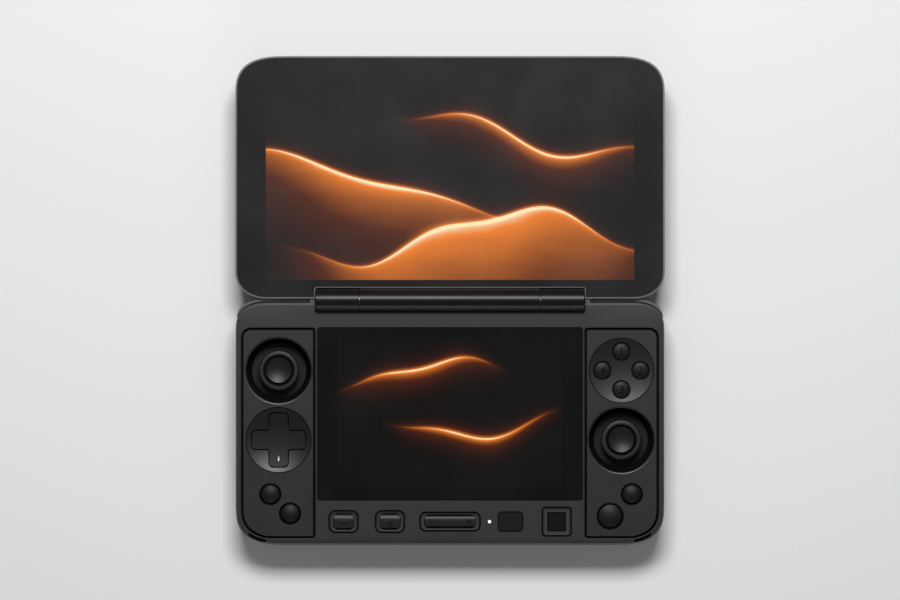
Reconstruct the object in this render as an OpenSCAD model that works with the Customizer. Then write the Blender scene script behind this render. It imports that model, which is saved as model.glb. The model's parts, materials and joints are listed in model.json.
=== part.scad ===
// Clamshell handheld game console, lying open flat with both faces up.
// X runs to the right, Y from the base towards the lid and Z up. Z = 0 is the table under the feet.
// The hinge axis runs along X over Y = 0. The base lies at negative Y and the lid at positive Y.
// Sizes are in millimetres.

/* [Body] */
// Width of the base
body_w = 180; // [178:0.5:190]
// Depth of each half, from its hinge edge to its far edge
body_d = 102; // [101:0.5:108]
// Thickness of the base without its feet
base_t = 19.8; // [19.6:0.1:22]
// Thickness of the lid
lid_t = 8.8; // [8.4:0.1:10.5]
// How far the lid reaches past the base on each side
lid_overhang = 0.2; // [0:0.1:1]
// Gap between the two halves at the hinge when they lie flat
open_gap = 1.4; // [1.2:0.1:2]
// Gap between the two faces when the lid is closed
closed_gap = 0.6; // [0.5:0.1:1]
// How far the rubber feet stand out
foot_h = 0.6; // [0.4:0.1:1.2]
// Far corners of both halves: reach along X, reach along Y and squareness
far_corner = [22, 16, 2.8]; // [2:0.1:30]
// Rear corners of the base, by the hinge
base_rear_corner = [13, 11, 2.3]; // [2:0.1:20]
// Near corners of the lid, by the hinge
lid_near_corner = [14, 12, 2.3]; // [2:0.1:20]

/* [Shells] */
// Wall thickness of the shells
wall = 1.5; // [1.2:0.1:1.6]
// Thickness of the shells' floors
floor_t = 1.6; // [1.4:0.1:1.8]
// Thickness of the faceplate
deck_t = 2; // [1.8:0.1:2.2]
// Depth of the top cover, down to the split between the shells
cover_depth = 6; // [5.6:0.1:6.4]
// Rounding of the lower edges, up the wall
belly_h = 4.5; // [3.5:0.1:5]
// Rounding of the lower edges, along the floor
belly_in = 5.5; // [4:0.1:6]
// Rounding of the faceplate's edge
edge_r = 1.2; // [0.8:0.1:1.4]
// Radius of the case screws' shanks
screw_r = 1; // [0.8:0.1:1.2]

/* [Hinge] */
// Radius of the hinge barrel
barrel_r = 4.7; // [4.5:0.1:5]
// Length of the middle barrel, which turns with the lid
barrel_len = 75.6; // [70:0.2:80]
// Length of the whole barrel with its two end knuckles
hinge_len = 112.4; // [108:0.2:114]
// Radius of the hinge shafts
shaft_r = 2; // [1.8:0.1:2.2]
// Length of each hinge shaft
shaft_len = 30; // [26:0.5:32]
// Radius of the steel sleeves on the shafts
sleeve_r = 3.2; // [3.1:0.05:3.3]
// Gap between the barrel and the base's trough
base_trough_gap = 0.2; // [0.15:0.05:0.4]
// Gap between the barrel and the lid's trough
lid_trough_gap = 0.7; // [0.4:0.05:0.9]
// Thickness of the steel hinge leaves
leaf_t = 1; // [0.8:0.1:1.1]

/* [Screens] */
// Width of the light rim round the lid's glass
rim_t = 0.7; // [0.5:0.1:1]
// Width of that rim along the notch for the hinge barrel
notch_rim_t = 0.3; // [0.2:0.1:0.7]
// Thickness of both glasses
glass_t = 1; // [0.8:0.1:1.1]
// Width and height of the lower glass
lower_glass = [111.6, 72.8]; // [60:0.2:112]
// Corner radius of the lower glass
lower_glass_r = 1.3; // [0.8:0.1:3]
// Distance from the base's rear edge to the lower glass
lower_glass_y = 10.5; // [10.2:0.1:11]
// Width, height and thickness of the lower display panel
lower_panel = [101, 69, 1.5]; // [1:0.1:104]
// Width, height and thickness of the upper display panel
upper_panel = [160, 92, 2.2]; // [1:0.1:162]
// Distance from the lid's near edge to the upper display panel
upper_panel_y = 6.6; // [6.5:0.1:7]

/* [Control panels] */
// Width of each control panel
panel_w = 29.5; // [29:0.1:29.8]
// Thickness of the control panels
panel_t = 3.2; // [3:0.1:3.4]
// Width of the groove round the control panels
panel_gap = 0.9; // [0.6:0.05:1]
// Width of the faceplate's rim outside that groove
rim_w = 2.2; // [2.2:0.05:2.6]
// Distance from the rear edge of the base to the control panels
panel_rear = 11.6; // [11.5:0.1:12.4]
// Distance from the front edge of the base to the control panels
panel_front = 3.7; // [3.4:0.1:4.2]
// Corner radii of the control panels: rear outer corner, inner corners
panel_corner = [3.2, 0.5]; // [0.3:0.1:4]
// Chamfer on the edges of the panels, the wells and the faceplate's openings
soft_edge = 0.25; // [0.1:0.05:0.3]
// Distance from a panel's outer edge to the middle of its sticks
control_in = 14.9; // [14.8:0.05:15]
// Distance from the rear edge to the upper controls
control_y = 28.7; // [28.4:0.1:29.2]
// Distance between the upper and the lower controls
control_pitch = 29.2; // [29:0.1:29.6]

/* [Sticks] */
// Radius of the stick wells
well_r = 13.6; // [13.4:0.1:13.8]
// Radius of the stick caps
cap_r = 8.44; // [8:0.02:8.6]
// Thickness of the caps
cap_t = 2.6; // [2.4:0.1:2.7]
// Width of the flat ring round a cap's top
cap_ring = 1.9; // [1.5:0.1:2.2]
// Width and depth of the moat inside that ring
cap_moat = [1.2, 1.3]; // [0.8:0.1:1.4]
// Depth of the hollow in the middle of a cap
cap_hollow = 0.9; // [0.5:0.1:0.9]
// Depth of the cap's top below the faceplate
cap_sink = 1.9; // [1.8:0.1:2.2]
// Depth of the sticks' pivots below the faceplate
stick_depth = 11.7; // [11.5:0.1:11.9]
// Depth of the wells' floors
well_depth = 8.4; // [8.2:0.1:8.6]
// Radius of the dome under each cap
dome_r = 5.8; // [5.6:0.05:5.9]
// Radius of the gimbal ring inside the dome
ring_r = 4.4; // [4.2:0.05:4.5]
// Width of the stick modules
stick_box = 17.4; // [17:0.1:17.6]
// How far a stick clicks down
stick_click = 0.4; // [0.2:0.05:0.5]

/* [Direction pad] */
// Length of the cross from tip to tip
cross_len = 22.4; // [20:0.1:22.6]
// Width of the cross's arms
cross_w = 7.7; // [7:0.1:8]
// Radius of the dish round the cross
pad_dish_r = 13.9; // [13.5:0.1:14]
// Depth of that dish
pad_dish_depth = 2.2; // [1.6:0.1:2.3]
// Depth of the cross's pivot below the faceplate
pad_depth = 5.5; // [5.4:0.1:5.6]
// Depth of the tips of the cross below the faceplate
cross_sink = 0.5; // [0.4:0.1:0.8]
// Depth of the hollow in the top of the cross
cross_hollow = 0.7; // [0.4:0.1:0.9]
// Gap round the cross
cross_gap = 0.5; // [0.45:0.05:0.6]

/* [Buttons] */
// Width of the face buttons
face_d = 7; // [6:0.1:7.2]
// Distance from the middle of the cluster to each face button
face_pitch = 8; // [7.8:0.1:8.4]
// Radius of the dish round the face buttons
face_dish_r = 13.8; // [13.4:0.1:14]
// Depth of that dish
face_dish_depth = 1.5; // [1:0.1:1.6]
// Width and depth of the fine groove round both dishes
dish_groove = [0.4, 0.5]; // [0.2:0.1:0.8]
// Width of the three small buttons
small_d = 7.9; // [7:0.1:8]
// Width of the larger button at the lower right
large_d = 9.9; // [9:0.1:10]
// How far the buttons press in
button_travel = 0.8; // [0.5:0.1:0.8]
// Gap round the face buttons
face_gap = 0.45; // [0.3:0.05:0.6]
// Gap round the small buttons and the keys
key_gap = 0.3; // [0.25:0.05:0.35]

/* [Front row] */
// Distance from the front edge to the row of keys
row_front = 9.8; // [9.6:0.1:10.4]
// Places of the left key, the right key, the fingerprint sensor and the pointer key along X
row_x = [-44.7, -25.2, 25.4, 44.8]; // [-45:0.1:45]
// Width, height and corner radius of the two keys
row_key = [8.4, 6.3, 2]; // [1:0.1:9]
// Width, height and corner radius of the frames round the two keys
row_frame = [12.8, 9.8, 3]; // [1:0.1:13]
// Width, height and corner radius of the volume rocker
rocker = [21.4, 5.1, 1.7]; // [1:0.1:22]
// Width, height and corner radius of the frame round the rocker
rocker_frame = [26, 8.5, 2.8]; // [1:0.1:27]
// Width, height and corner radius of the pointer key
pointer = [7.5, 7.6, 0.4]; // [0.3:0.1:8]
// Width, height and corner radius of the frame round the pointer key
pointer_frame = [12.8, 12.7, 1.7]; // [1:0.1:13]
// Width, height and corner radius of the fingerprint sensor
finger = [10.2, 8, 1.5]; // [1:0.1:11]
// Gap round the fingerprint sensor
finger_gap = 0.3; // [0.1:0.05:0.4]
// Place of the status light along X
led_x = 16.6; // [15.8:0.1:17.4]
// Width of the status light
led_d = 1.4; // [1:0.1:2]
// How far the row keys press in
key_travel = 0.6; // [0.4:0.05:0.6]

/* [Shoulder keys] */
// Distance from the rear edge to the inner wall of the shoulder pockets
pocket_in = 4.8; // [4.6:0.1:5]
// Place along X where the shoulder pockets begin
pocket_x = 57.5; // [57.2:0.1:60]
// How far the pockets reach along the sides, from the rear edge
pocket_side = 8.3; // [8.2:0.1:8.6]
// Thickness of the shoulder keys
shoulder_t = 2.2; // [1.8:0.1:2.3]
// Height of the bumpers
bumper_h = 7; // [6:0.1:7.2]
// Height of the triggers
trigger_h = 7.4; // [6.5:0.1:7.6]
// Radius of the shoulder keys' pins
key_pin_r = 0.9; // [0.7:0.1:1]

/* [Inside] */
// Thickness of the circuit boards
board_t = 1; // [0.8:0.1:1.2]
// Depth of the button boards' upper face below the faceplate
button_board_depth = 7; // [6.9:0.1:7.2]
// Thickness of the rubber membranes
membrane_t = 0.6; // [0.4:0.1:0.7]
// Width, length and height of the battery
battery = [100, 32, 10]; // [5:1:102]
// Width and height of the fan housing
fan_box = [38, 7.6]; // [7:0.1:40]
// Radius of the fan rotor
rotor_r = 15.5; // [14:0.1:16]
// Number of fan blades
blade_count = 17; // [9:1:23]
// Pitch of the cooling fins
fin_pitch = 2.4; // [2:0.1:4]
// Radius of the headphone jack's bore
jack_r = 1.8; // [1.6:0.05:2]
// Depth of the headphone jack's bore
jack_depth = 14; // [12:0.5:14]
// Radial clearance of turning pins in their bores
pin_gap = 0.06; // [0.03:0.01:0.09]

/* [Hidden] */
$fn = 48;
eps = 0.01;
corner_steps = 12;
edge_count = 7;

// Heights
base_z = foot_h;
floor_z = base_z + floor_t;
deck_z = base_z + base_t;
under_z = deck_z - deck_t;
split_z = deck_z - cover_depth;
axis_z = deck_z + closed_gap / 2;
lid_back_z = deck_z - lid_t;
lid_floor_z = lid_back_z + floor_t;
glass_sink = 0.1;
glass_z = deck_z - glass_sink - glass_t;
panel_z = deck_z - panel_t;
pivot_z = deck_z - stick_depth;
stick_below = 3.9;
board_top_z = pivot_z - stick_below;
board_z = board_top_z - board_t;
button_board_z = deck_z - button_board_depth - board_t;
membrane_z = deck_z - button_board_depth + membrane_t;
front_board_top_z = deck_z - 5.4;
card_z = floor_z + 4;
card_slot_z = card_z + 0.3;
rim_z = deck_z - 2.4;

// Places on the faceplate
rear_y = -open_gap / 2;
front_y = rear_y - body_d;
lid_near_y = open_gap / 2;
lid_far_y = lid_near_y + body_d;
lid_w = body_w + 2 * lid_overhang;
panel_out_x = body_w / 2 - rim_w - panel_gap;
panel_in_x = panel_out_x - panel_w;
panel_rear_y = rear_y - panel_rear;
panel_front_y = front_y + panel_front;
control_x = panel_out_x - control_in;
upper_y = rear_y - control_y;
lower_y = upper_y - control_pitch;
row_y = front_y + row_front;
glass_mid_y = rear_y - lower_glass_y - lower_glass.y / 2;
left_stick = [-control_x, upper_y];
dpad = [-control_x, lower_y];
face_mid = [control_x, upper_y];
right_stick = [control_x, lower_y];
small_spots = [[-control_x - 3.5, lower_y - 22.8], [-control_x + 4.8, lower_y - 30.9],
    [control_x + 4.4, lower_y - 22.8], [control_x - 4.7, lower_y - 32]];
small_widths = [small_d, small_d, small_d, large_d];
face_spots = [[0, 1], [-1, 0], [1, 0], [0, -1]];

// Buttons: the flange that holds each one in, and its plunger
flange_w = 0.9;
flange_t = 0.8;
plunger_r = 1.6;
plunger_gap = 0.1;
face_top = 0.1;
small_top = 0.2;
frame_groove = 0.7;
frame_groove_depth = 1.1;
frame_crest = 0.1;
frame_slope = 0.55;
frame_slope_depth = 0.8;
key_ridge = 0.9;

// Sticks: pin through the gimbal, underside of the cap over the pivot, bore for the shaft
cross_pin_r = 0.7;
cap_under = stick_depth - cap_sink - cap_t;
cap_bore_r = 1.25;
cap_bore_depth = 1;

// Direction pad: ears that carry its spider
ear_in = 3.4;
ear_t = 1.2;
spider_r = 0.7;

// Volume rocker: depth, radius and ears of its pin
rocker_depth = 4.1;
rocker_pin_r = 0.7;
rocker_ear = 2.4;

// Hinge
barrel_end = barrel_len / 2;
hinge_end = hinge_len / 2;
seam_gap = 0.2;
trough_end = hinge_end + 0.5;
base_trough_r = barrel_r + base_trough_gap;
lid_trough_r = barrel_r + lid_trough_gap;
shaft_in = hinge_end - 1.4 - shaft_len;
barrel_bore_r = sleeve_r + 0.1;
leaf_x = [barrel_end + seam_gap + 2, hinge_end - 2];
lid_leaf_x = [shaft_in + 1, barrel_end - 1];
leaf_gap = 0.1;
leaf_drop = 3.4;
lid_leaf_drop = 5.9;

// Shoulder keys
shoulder_out = [10.5, 8.6, 2.3];
shoulder_y = 0.3;
shoulder_side = 0.3;
shoulder_end_y = rear_y - pocket_side + 1.8;
lip_z = under_z + 0.5;
bumper_z = lip_z - 0.3 - bumper_h;
trigger_z = bumper_z - 0.8 - trigger_h;
bumper_pin = [pocket_x + 4.2, rear_y - 2.7];
trigger_pin_y = rear_y - 3.2;
trigger_pin_z = trigger_z + trigger_h - 1.4;
trigger_lug_x = body_w / 2 - 14;
pocket_z = floor_z + 0.3;
lug_end_y = trigger_pin_y + key_pin_r + 0.7;

// Screws, posts and boards
boss_r = 2.8;
boss_z = base_z + 7.4;
leaf_screw_x = hinge_end - 8.2;
screw_spots = [[-leaf_screw_x, rear_y - 7], [0, rear_y - 7], [leaf_screw_x, rear_y - 7],
    [(row_x[0] + row_x[1]) / 2, row_y], [(row_x[2] + row_x[3]) / 2, row_y]];
post_r = 1.8;
post_out_x = panel_out_x - 0.7;
post_in_x = panel_in_x + 3.1;
left_posts = [[-post_out_x, lower_y + 9], [-post_in_x, lower_y + 10.5], [-post_out_x, lower_y - 19],
    [-post_in_x, lower_y - 21]];
right_posts = [[post_out_x, upper_y + 9], [post_in_x, upper_y + 11], [post_out_x, upper_y - 10.5],
    [post_in_x, upper_y - 10.5], [post_out_x, lower_y - 19], [post_in_x, lower_y - 21]];
front_posts = [[-18, row_y - 3], [18, row_y - 3]];
board_posts = [[12, -20], [panel_in_x - 5.4, -48], [panel_out_x - 6.9, -68], [-panel_in_x - 4.6, -40],
    [-panel_out_x + 5.9, -18]];
// Main board: stretches from X to X and from Y to Y, the last of them on the left side by itself
boards = [[5, panel_out_x - 3, -54, -12], [6, 44.5, -13, rear_y - 3],
    [panel_in_x + 0.6, panel_out_x - 3, -72, -50], [-panel_out_x + 3, -panel_in_x - 0.6, -44, -14]];
// Chips: middle, width, depth and height, with the one under the cold plate first
chips = [[30, -32, 16, 16, 1.6], [46, -33, 8, 10, 1.2], [46, -21, 8, 10, 1.2], [12.5, -44, 9, 12, 1],
    [12, -30, 8, 8, 0.9], [37, -48, 30, 10, 2.4]];

// Cooling
fan_mid = [-24, -35.5];
fan_z = floor_z + 0.4;
duct_y = -15;
fin_t = 0.5;
fins_z = boss_z + 3;

// Ports and fittings: widths, heights and corner radii
port_x = [12, 26];
port = [9, 3.2, 1.5];
port_t = 0.3;
port_len = 7.4;
port_z = board_top_z + port.y / 2;
jack_x = 39;
jack_z = board_top_z + 2.6;
foot_size = [30, 3.6, 1.5];
foot_x = body_w / 2 - 30;
foot_spots = [for (x = [-foot_x, foot_x], y = [rear_y - 7.9, front_y + 8.7]) [x, y]];
speaker = [18, 10, 5];
speaker_spot = [control_x - 4.5, front_y + 12.7];
motor = [4, 3];
motor_spot = [control_x - 2, lower_y - 17.8];
battery_rear_y = -56;
card = [14, 12.6, 1.8];
card_slot = [12, 1.2];
power_key = [2.6, 10, 1.25];
power_gap = 0.2;
power_y = -29;
power_z = base_z + 9;

// ---- Shared shapes ----

// One rounded corner: a quarter of a superellipse, from its X end to its Y end
function corner_arc(c, steps = corner_steps) = [for (i = [0:steps])
    let (t = 90 * i / steps) [c[0] * pow(cos(t), 2 / c[2]), c[1] * pow(sin(t), 2 / c[2])]];

// The outline of one half, anticlockwise, set in by the given amount
function outline(w, y0, y1, near, far, inset = 0) =
    let (n = corner_arc([near[0] - inset, near[1] - inset, near[2]]),
        f = corner_arc([far[0] - inset, far[1] - inset, far[2]]),
        last = len(n) - 1, nx = w / 2 - near[0], fx = w / 2 - far[0])
    concat([for (i = [0:last]) [fx + f[i].x, y1 - far[1] + f[i].y]],
        [for (i = [last:-1:0]) [-fx - f[i].x, y1 - far[1] + f[i].y]],
        [for (i = [0:last]) [-nx - n[i].x, y0 + near[1] - n[i].y]],
        [for (i = [last:-1:0]) [nx + n[i].x, y0 + near[1] - n[i].y]]);

function base_outline(inset = 0) = outline(body_w, front_y, rear_y, far_corner, base_rear_corner, inset);

function lid_outline(inset = 0) = outline(lid_w, lid_near_y, lid_far_y, lid_near_corner, far_corner, inset);

function at_height(points, z) = [for (p = points) [p.x, p.y, z]];

// Height and inset along a rounded edge, from its flat face at z to the full outline
function edge_steps(z, up, along, inset, steps = edge_count) = [for (i = [0:steps])
    let (t = 90 * i / steps) [z + up * (1 - cos(t)), inset + along * (1 - sin(t))]];

function backwards(list) = [for (i = [len(list) - 1:-1:0]) list[i]];

// An arc about a point on the axis of a turned part, as radius and height
function turned_arc(r, mid_z, from, to, steps = 6) = [for (i = [0:steps])
    let (t = from + (to - from) * i / steps) [r * cos(t), mid_z + r * sin(t)]];

// Joins rings of points, each anticlockwise, into one closed solid
module loft(rings) {
    n = len(rings[0]);
    m = len(rings);
    polyhedron(points = [for (r = rings) each r], faces = concat(
        [[for (i = [0:n - 1]) i]],
        [for (k = [0:m - 2], i = [0:n - 1])
            [k * n + i, (k + 1) * n + i, (k + 1) * n + (i + 1) % n, k * n + (i + 1) % n]],
        [[for (i = [n - 1:-1:0]) (m - 1) * n + i]]));
}

module prism(points, z0, z1) {
    translate([0, 0, z0]) linear_extrude(z1 - z0) polygon(points);
}

module slab(x0, x1, y0, y1, z0, z1) {
    translate([x0, y0, z0]) cube([x1 - x0, y1 - y0, z1 - z0]);
}

module both() {
    children();
    mirror([1, 0, 0]) children();
}

module x_rod(r, x0, x1, y, z) {
    translate([x0, y, z]) rotate([0, 90, 0]) cylinder(r = r, h = x1 - x0);
}

module y_rod(r, y0, y1, x, z) {
    translate([x, y1, z]) rotate([90, 0, 0]) cylinder(r = r, h = y1 - y0);
}

module z_rod(r, spot, z0, z1) {
    translate([spot.x, spot.y, z0]) cylinder(r = r, h = z1 - z0);
}

// A rectangle with round corners, about the origin
module rounded(size, r) {
    square([size.x - 2 * r, size.y], center = true);
    square([size.x, size.y - 2 * r], center = true);
    for (x = [-1, 1], y = [-1, 1])
        translate([x * (size.x / 2 - r), y * (size.y / 2 - r)]) circle(r);
}

module rounded_slab(size, r, spot, z0, z1) {
    translate([spot.x, spot.y, z0]) linear_extrude(z1 - z0) rounded(size, r);
}

// The same rectangle as a ring of points, for sloping walls
function rounded_ring(size, r, z, steps = 4) = [for (q = [0:3], i = [0:steps])
    let (t = 90 * (q + i / steps), sx = (q == 0 || q == 3) ? 1 : -1, sy = q < 2 ? 1 : -1)
    [sx * (size.x / 2 - r) + r * cos(t), sy * (size.y / 2 - r) + r * sin(t), z]];

module turned(points) {
    rotate_extrude($fn = 72) polygon(points);
}

// ---- Cuts that several pieces share ----

// The space of the shoulder keys at both rear corners, grown by a wall
module shoulder_pockets(grow, z0, z1) {
    both() translate([0, 0, z0]) linear_extrude(z1 - z0) difference() {
        translate([pocket_x - grow, rear_y - pocket_side - grow])
            square([body_w / 2 - pocket_x + grow + 1, pocket_side + grow + 3]);
        polygon(base_outline(pocket_in + grow));
    }
}

module barrel_trough(r) {
    x_rod(r, -trough_end, trough_end, 0, axis_z);
}

// A quarter of a circle, from the given angle on
function quarter(middle, r, from, steps = 5) = [for (i = [0:steps])
    let (t = from + 90 * i / steps) [middle.x + r * cos(t), middle.y + r * sin(t)]];

// The outline of the right control panel, anticlockwise, grown by the given amount. Its outer front corner
// runs along the base's own corner, from the front edge on.
function panel_outline(grow) =
    let (x0 = panel_in_x - grow, x1 = panel_out_x + grow, y0 = panel_front_y - grow, y1 = panel_rear_y + grow,
        inner = panel_corner[1] + grow, rear = panel_corner[0] + grow, inset = rim_w + panel_gap - grow,
        reach = [far_corner.x - inset, far_corner.y - inset], power = 2 / far_corner.z,
        mid = [body_w / 2 - far_corner.x, front_y + far_corner.y],
        start = asin(pow(min(1, (mid.y - y0) / reach.y), 1 / power)))
    concat(quarter([x0 + inner, y0 + inner], inner, 180),
        [for (i = [0:corner_steps]) let (t = start * (1 - i / corner_steps))
            [mid.x + reach.x * pow(cos(t), power), mid.y - reach.y * pow(sin(t), power)]],
        quarter([x1 - rear, y1 - rear], rear, 0), quarter([x0 + inner, y1 - inner], inner, 90));

// A solid with the panel's outline, from steps of height and growth
module panel_block(steps) {
    loft([for (s = steps) at_height(panel_outline(s[1]), s[0])]);
}

// A hole for a framed key: a groove, a flat ring, a slope down to the key and the key's own hole
module framed_hole(spot, frame, key) {
    crest = frame_groove + frame_crest;
    ring = function(inset, z) rounded_ring([frame.x - 2 * inset, frame.y - 2 * inset], frame.z - inset, z);
    translate([spot.x, spot.y, 0]) {
        translate([0, 0, deck_z - frame_groove_depth]) linear_extrude(frame_groove_depth + 1) difference() {
            rounded(frame, frame.z);
            rounded([frame.x - 2 * frame_groove, frame.y - 2 * frame_groove], frame.z - frame_groove);
        }
        loft([ring(crest + frame_slope, deck_z - frame_slope_depth), ring(crest, deck_z),
            ring(crest, deck_z + 1)]);
    }
    rounded_slab([key.x + 2 * key_gap, key.y + 2 * key_gap], key.z + key_gap, spot, under_z - 1, deck_z + 1);
}

// ---- Base shells ----

module base_cavity() {
    loft([for (s = concat(edge_steps(floor_z, belly_h - 0.9, belly_in - 0.9, wall), [[split_z + 1, wall]]))
        at_height(base_outline(s[1]), s[0])]);
}

module bottom_shell() {
    outside = concat(edge_steps(base_z, belly_h, belly_in, 0), [[split_z, 0]]);
    color("#2f3032") difference() {
        union() {
            difference() {
                loft([for (s = outside) at_height(base_outline(s[1]), s[0])]);
                difference() {
                    base_cavity();
                    shoulder_pockets(wall, floor_z - 1, split_z + 2);
                }
            }
            for (s = screw_spots) z_rod(boss_r, s, floor_z - 0.5, boss_z);
            for (s = concat(left_posts, right_posts)) z_rod(post_r, s, floor_z - 0.5, button_board_z);
            for (s = front_posts) z_rod(post_r, s, floor_z - 0.5, front_board_top_z - board_t);
            for (s = board_posts) z_rod(post_r, s, floor_z - 0.5, board_z);
            both() slab(card_slot.x / 2 - 1.4, card_slot.x / 2, front_y + wall, front_y + 12, floor_z - 0.5,
                card_z);
            both() slab(trigger_lug_x, trigger_lug_x + 1.8, rear_y - pocket_in - 0.5, lug_end_y,
                trigger_pin_z - 1.4, trigger_pin_z + 1.6);
        }
        shoulder_pocket_room();
        for (s = screw_spots) {
            z_rod(screw_r + 0.1, s, base_z - 1, boss_z + 1);
            z_rod(2, s, base_z - 1, base_z + 2.6);
        }
        for (s = foot_spots) rounded_slab([foot_size.x + 0.2, foot_size.y + 0.2], foot_size.z + 0.1, s,
            base_z - 1, base_z + 0.6);
        both() x_rod(key_pin_r + pin_gap, pocket_x - wall - 1, trigger_lug_x + 3, trigger_pin_y,
            trigger_pin_z);
        intake_slots();
        exhaust_slots();
        for (x = port_x) translate([x, rear_y, port_z]) rotate([90, 0, 0])
            linear_extrude(2 * wall + 2, center = true) rounded([port.x + 0.4, port.y + 0.4], port.z + 0.2);
        y_rod(jack_r + 1.1, rear_y - wall - 1, rear_y + 1, jack_x, jack_z);
        slab(-card_slot.x / 2, card_slot.x / 2, front_y - 1, front_y + wall + 1, card_slot_z,
            card_slot_z + card_slot.y);
        translate([body_w / 2, power_y, power_z]) rotate([0, 90, 0])
            linear_extrude(2 * wall + 2, center = true)
                rounded([power_key.x + 2 * power_gap, power_key.y + 2 * power_gap], power_key.z + power_gap);
    }
}

// The pockets themselves, without the lugs that carry the triggers' pins
module shoulder_pocket_room() {
    difference() {
        shoulder_pockets(0, pocket_z, split_z + 2);
        both() slab(trigger_lug_x, trigger_lug_x + 1.8, rear_y - pocket_in - 1, lug_end_y,
            trigger_pin_z - 1.4, trigger_pin_z + 1.6);
    }
}

// Slots under the fan, each as long as the chord of a circle
module intake_slots() {
    for (i = [-4:4]) let (half = sqrt(pow(12.5, 2) - pow(i * 2.7, 2)))
        translate([fan_mid.x + i * 2.7, fan_mid.y, base_z - 1]) linear_extrude(floor_t + 2)
            rounded([1.5, 2 * half], 0.7);
}

module exhaust_slots() {
    for (i = [-6:6]) translate([fan_mid.x + i * 2.6, rear_y, board_z + 4]) rotate([90, 0, 0])
        linear_extrude(2 * wall + 2, center = true) rounded([1.5, 6.4], 0.7);
}

module top_cover() {
    outside = concat([[split_z, 0]], backwards(edge_steps(deck_z, -edge_r, edge_r, 0)));
    color("#3c3d40") difference() {
        union() {
            difference() {
                loft([for (s = outside) at_height(base_outline(s[1]), s[0])]);
                difference() {
                    prism(base_outline(wall), split_z - 1, under_z);
                    shoulder_pockets(wall, split_z - 2, deck_z);
                    barrel_trough(base_trough_r + wall);
                }
            }
            for (s = screw_spots) z_rod(boss_r, s, boss_z + 0.05, under_z + 0.5);
            both() slab(trough_end + 0.1, trough_end + 2.2, rear_y - 1, shoulder_y + 0.1, split_z,
                deck_z - 0.2);
        }
        shoulder_pockets(0, split_z - 1, lip_z);
        barrel_trough(base_trough_r);
        both() panel_block([[under_z - 1, panel_gap], [deck_z - soft_edge, panel_gap],
            [deck_z, panel_gap + soft_edge], [deck_z + 1, panel_gap + soft_edge]]);
        rounded_slab([lower_glass.x + 0.1, lower_glass.y + 0.1], lower_glass_r, [0, glass_mid_y],
            glass_z - 0.05, deck_z + 1);
        rounded_slab([lower_panel.x + 1, lower_panel.y + 1], 1, [0, glass_mid_y], under_z - 1, deck_z);
        for (i = [0, 1]) framed_hole([row_x[i], row_y], row_frame, row_key);
        framed_hole([0, row_y], rocker_frame, rocker);
        framed_hole([row_x[3], row_y], pointer_frame, pointer);
        rounded_slab([finger.x + 2 * finger_gap, finger.y + 2 * finger_gap], finger.z + finger_gap,
            [row_x[2], row_y], under_z - 1, deck_z + 1);
        z_rod(led_d / 2 + 0.05, [led_x, row_y], under_z - 1, deck_z + 1);
        for (s = screw_spots) z_rod(screw_r + 0.02, s, boss_z - 1, boss_z + 6);
        both() base_leaf_plate(leaf_gap);
        both() speaker_slot();
    }
    color("#3c3d40") both() bumper_pin_post();
}

// A recess along the rim over each speaker, with a slot in its floor
module speaker_slot() {
    for (s = [[0.45, 1.7, deck_z - 1], [1.1, 1.7, under_z - 1]])
        translate([0, 0, s[2]]) linear_extrude(deck_z + 1 - s[2]) intersection() {
            difference() {
                polygon(base_outline(s[0]));
                polygon(base_outline(s[1]));
            }
            translate([body_w / 2 - 12.6, front_y - 1]) square([7.2, 12]);
        }
}

module bumper_pin_post() {
    z_rod(key_pin_r, bumper_pin, bumper_z + 0.4, lip_z + 0.2);
}

// ---- Control panels ----

// The cup of a stick well, with a round collar over the stick's dome
module well_cup() {
    collar_in = dome_r + 0.35;
    collar_out = collar_in + 0.7;
    floor_drop = well_depth + 1;
    low = asin((stick_depth - floor_drop) / collar_in);
    foot = asin((stick_depth - well_depth) / collar_out);
    turned(concat([[well_r + 1.1, -panel_t + 1], [well_r + 1.1, -4.6], [well_r - 1.3, -floor_drop]],
        turned_arc(collar_in, -stick_depth, low, 45), turned_arc(collar_out, -stick_depth, 45, foot),
        [[well_r - 2.2, -well_depth], [well_r - 0.1, -4.4], [well_r, -panel_t + 1]]));
}

// What a shallow dish takes away, with the fine groove round it
module dish_cut(spot, r, depth) {
    edge_drop = 0.12;
    edge_r = r - dish_groove[0];
    translate([spot.x, spot.y, deck_z]) turned(concat(
        [for (i = [0:12]) let (s = i / 12) [edge_r * s, -depth + (depth - edge_drop) * pow(s, 2)]],
        [[edge_r, -dish_groove[1]], [r, -dish_groove[1]], [r, 1], [0, 1]]));
}

// The round mouth of a stick well, with a chamfer round it
module well_mouth(spot) {
    translate([spot.x, spot.y, deck_z]) turned([[0, -panel_t - 1], [well_r, -panel_t - 1],
        [well_r, -soft_edge], [well_r + soft_edge, 0], [well_r + soft_edge, 1], [0, 1]]);
}

// A panel's plate with its chamfered edge, and the flange that holds it under the faceplate
module panel_body() {
    flange = panel_gap + 0.5;
    panel_block([[panel_z, 0], [deck_z - soft_edge, 0], [deck_z, -soft_edge]]);
    panel_block([[panel_z, flange], [under_z - 0.1, flange]]);
}

// A round button's hole with a sloping ring round it
module ring_hole(spot, d) {
    translate([spot.x, spot.y, deck_z]) turned([[0, -panel_t - 1], [d / 2 + key_gap, -panel_t - 1],
        [d / 2 + key_gap, -0.7], [d / 2 + 0.85, 0], [d / 2 + 0.85, 1], [0, 1]]);
}

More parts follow.
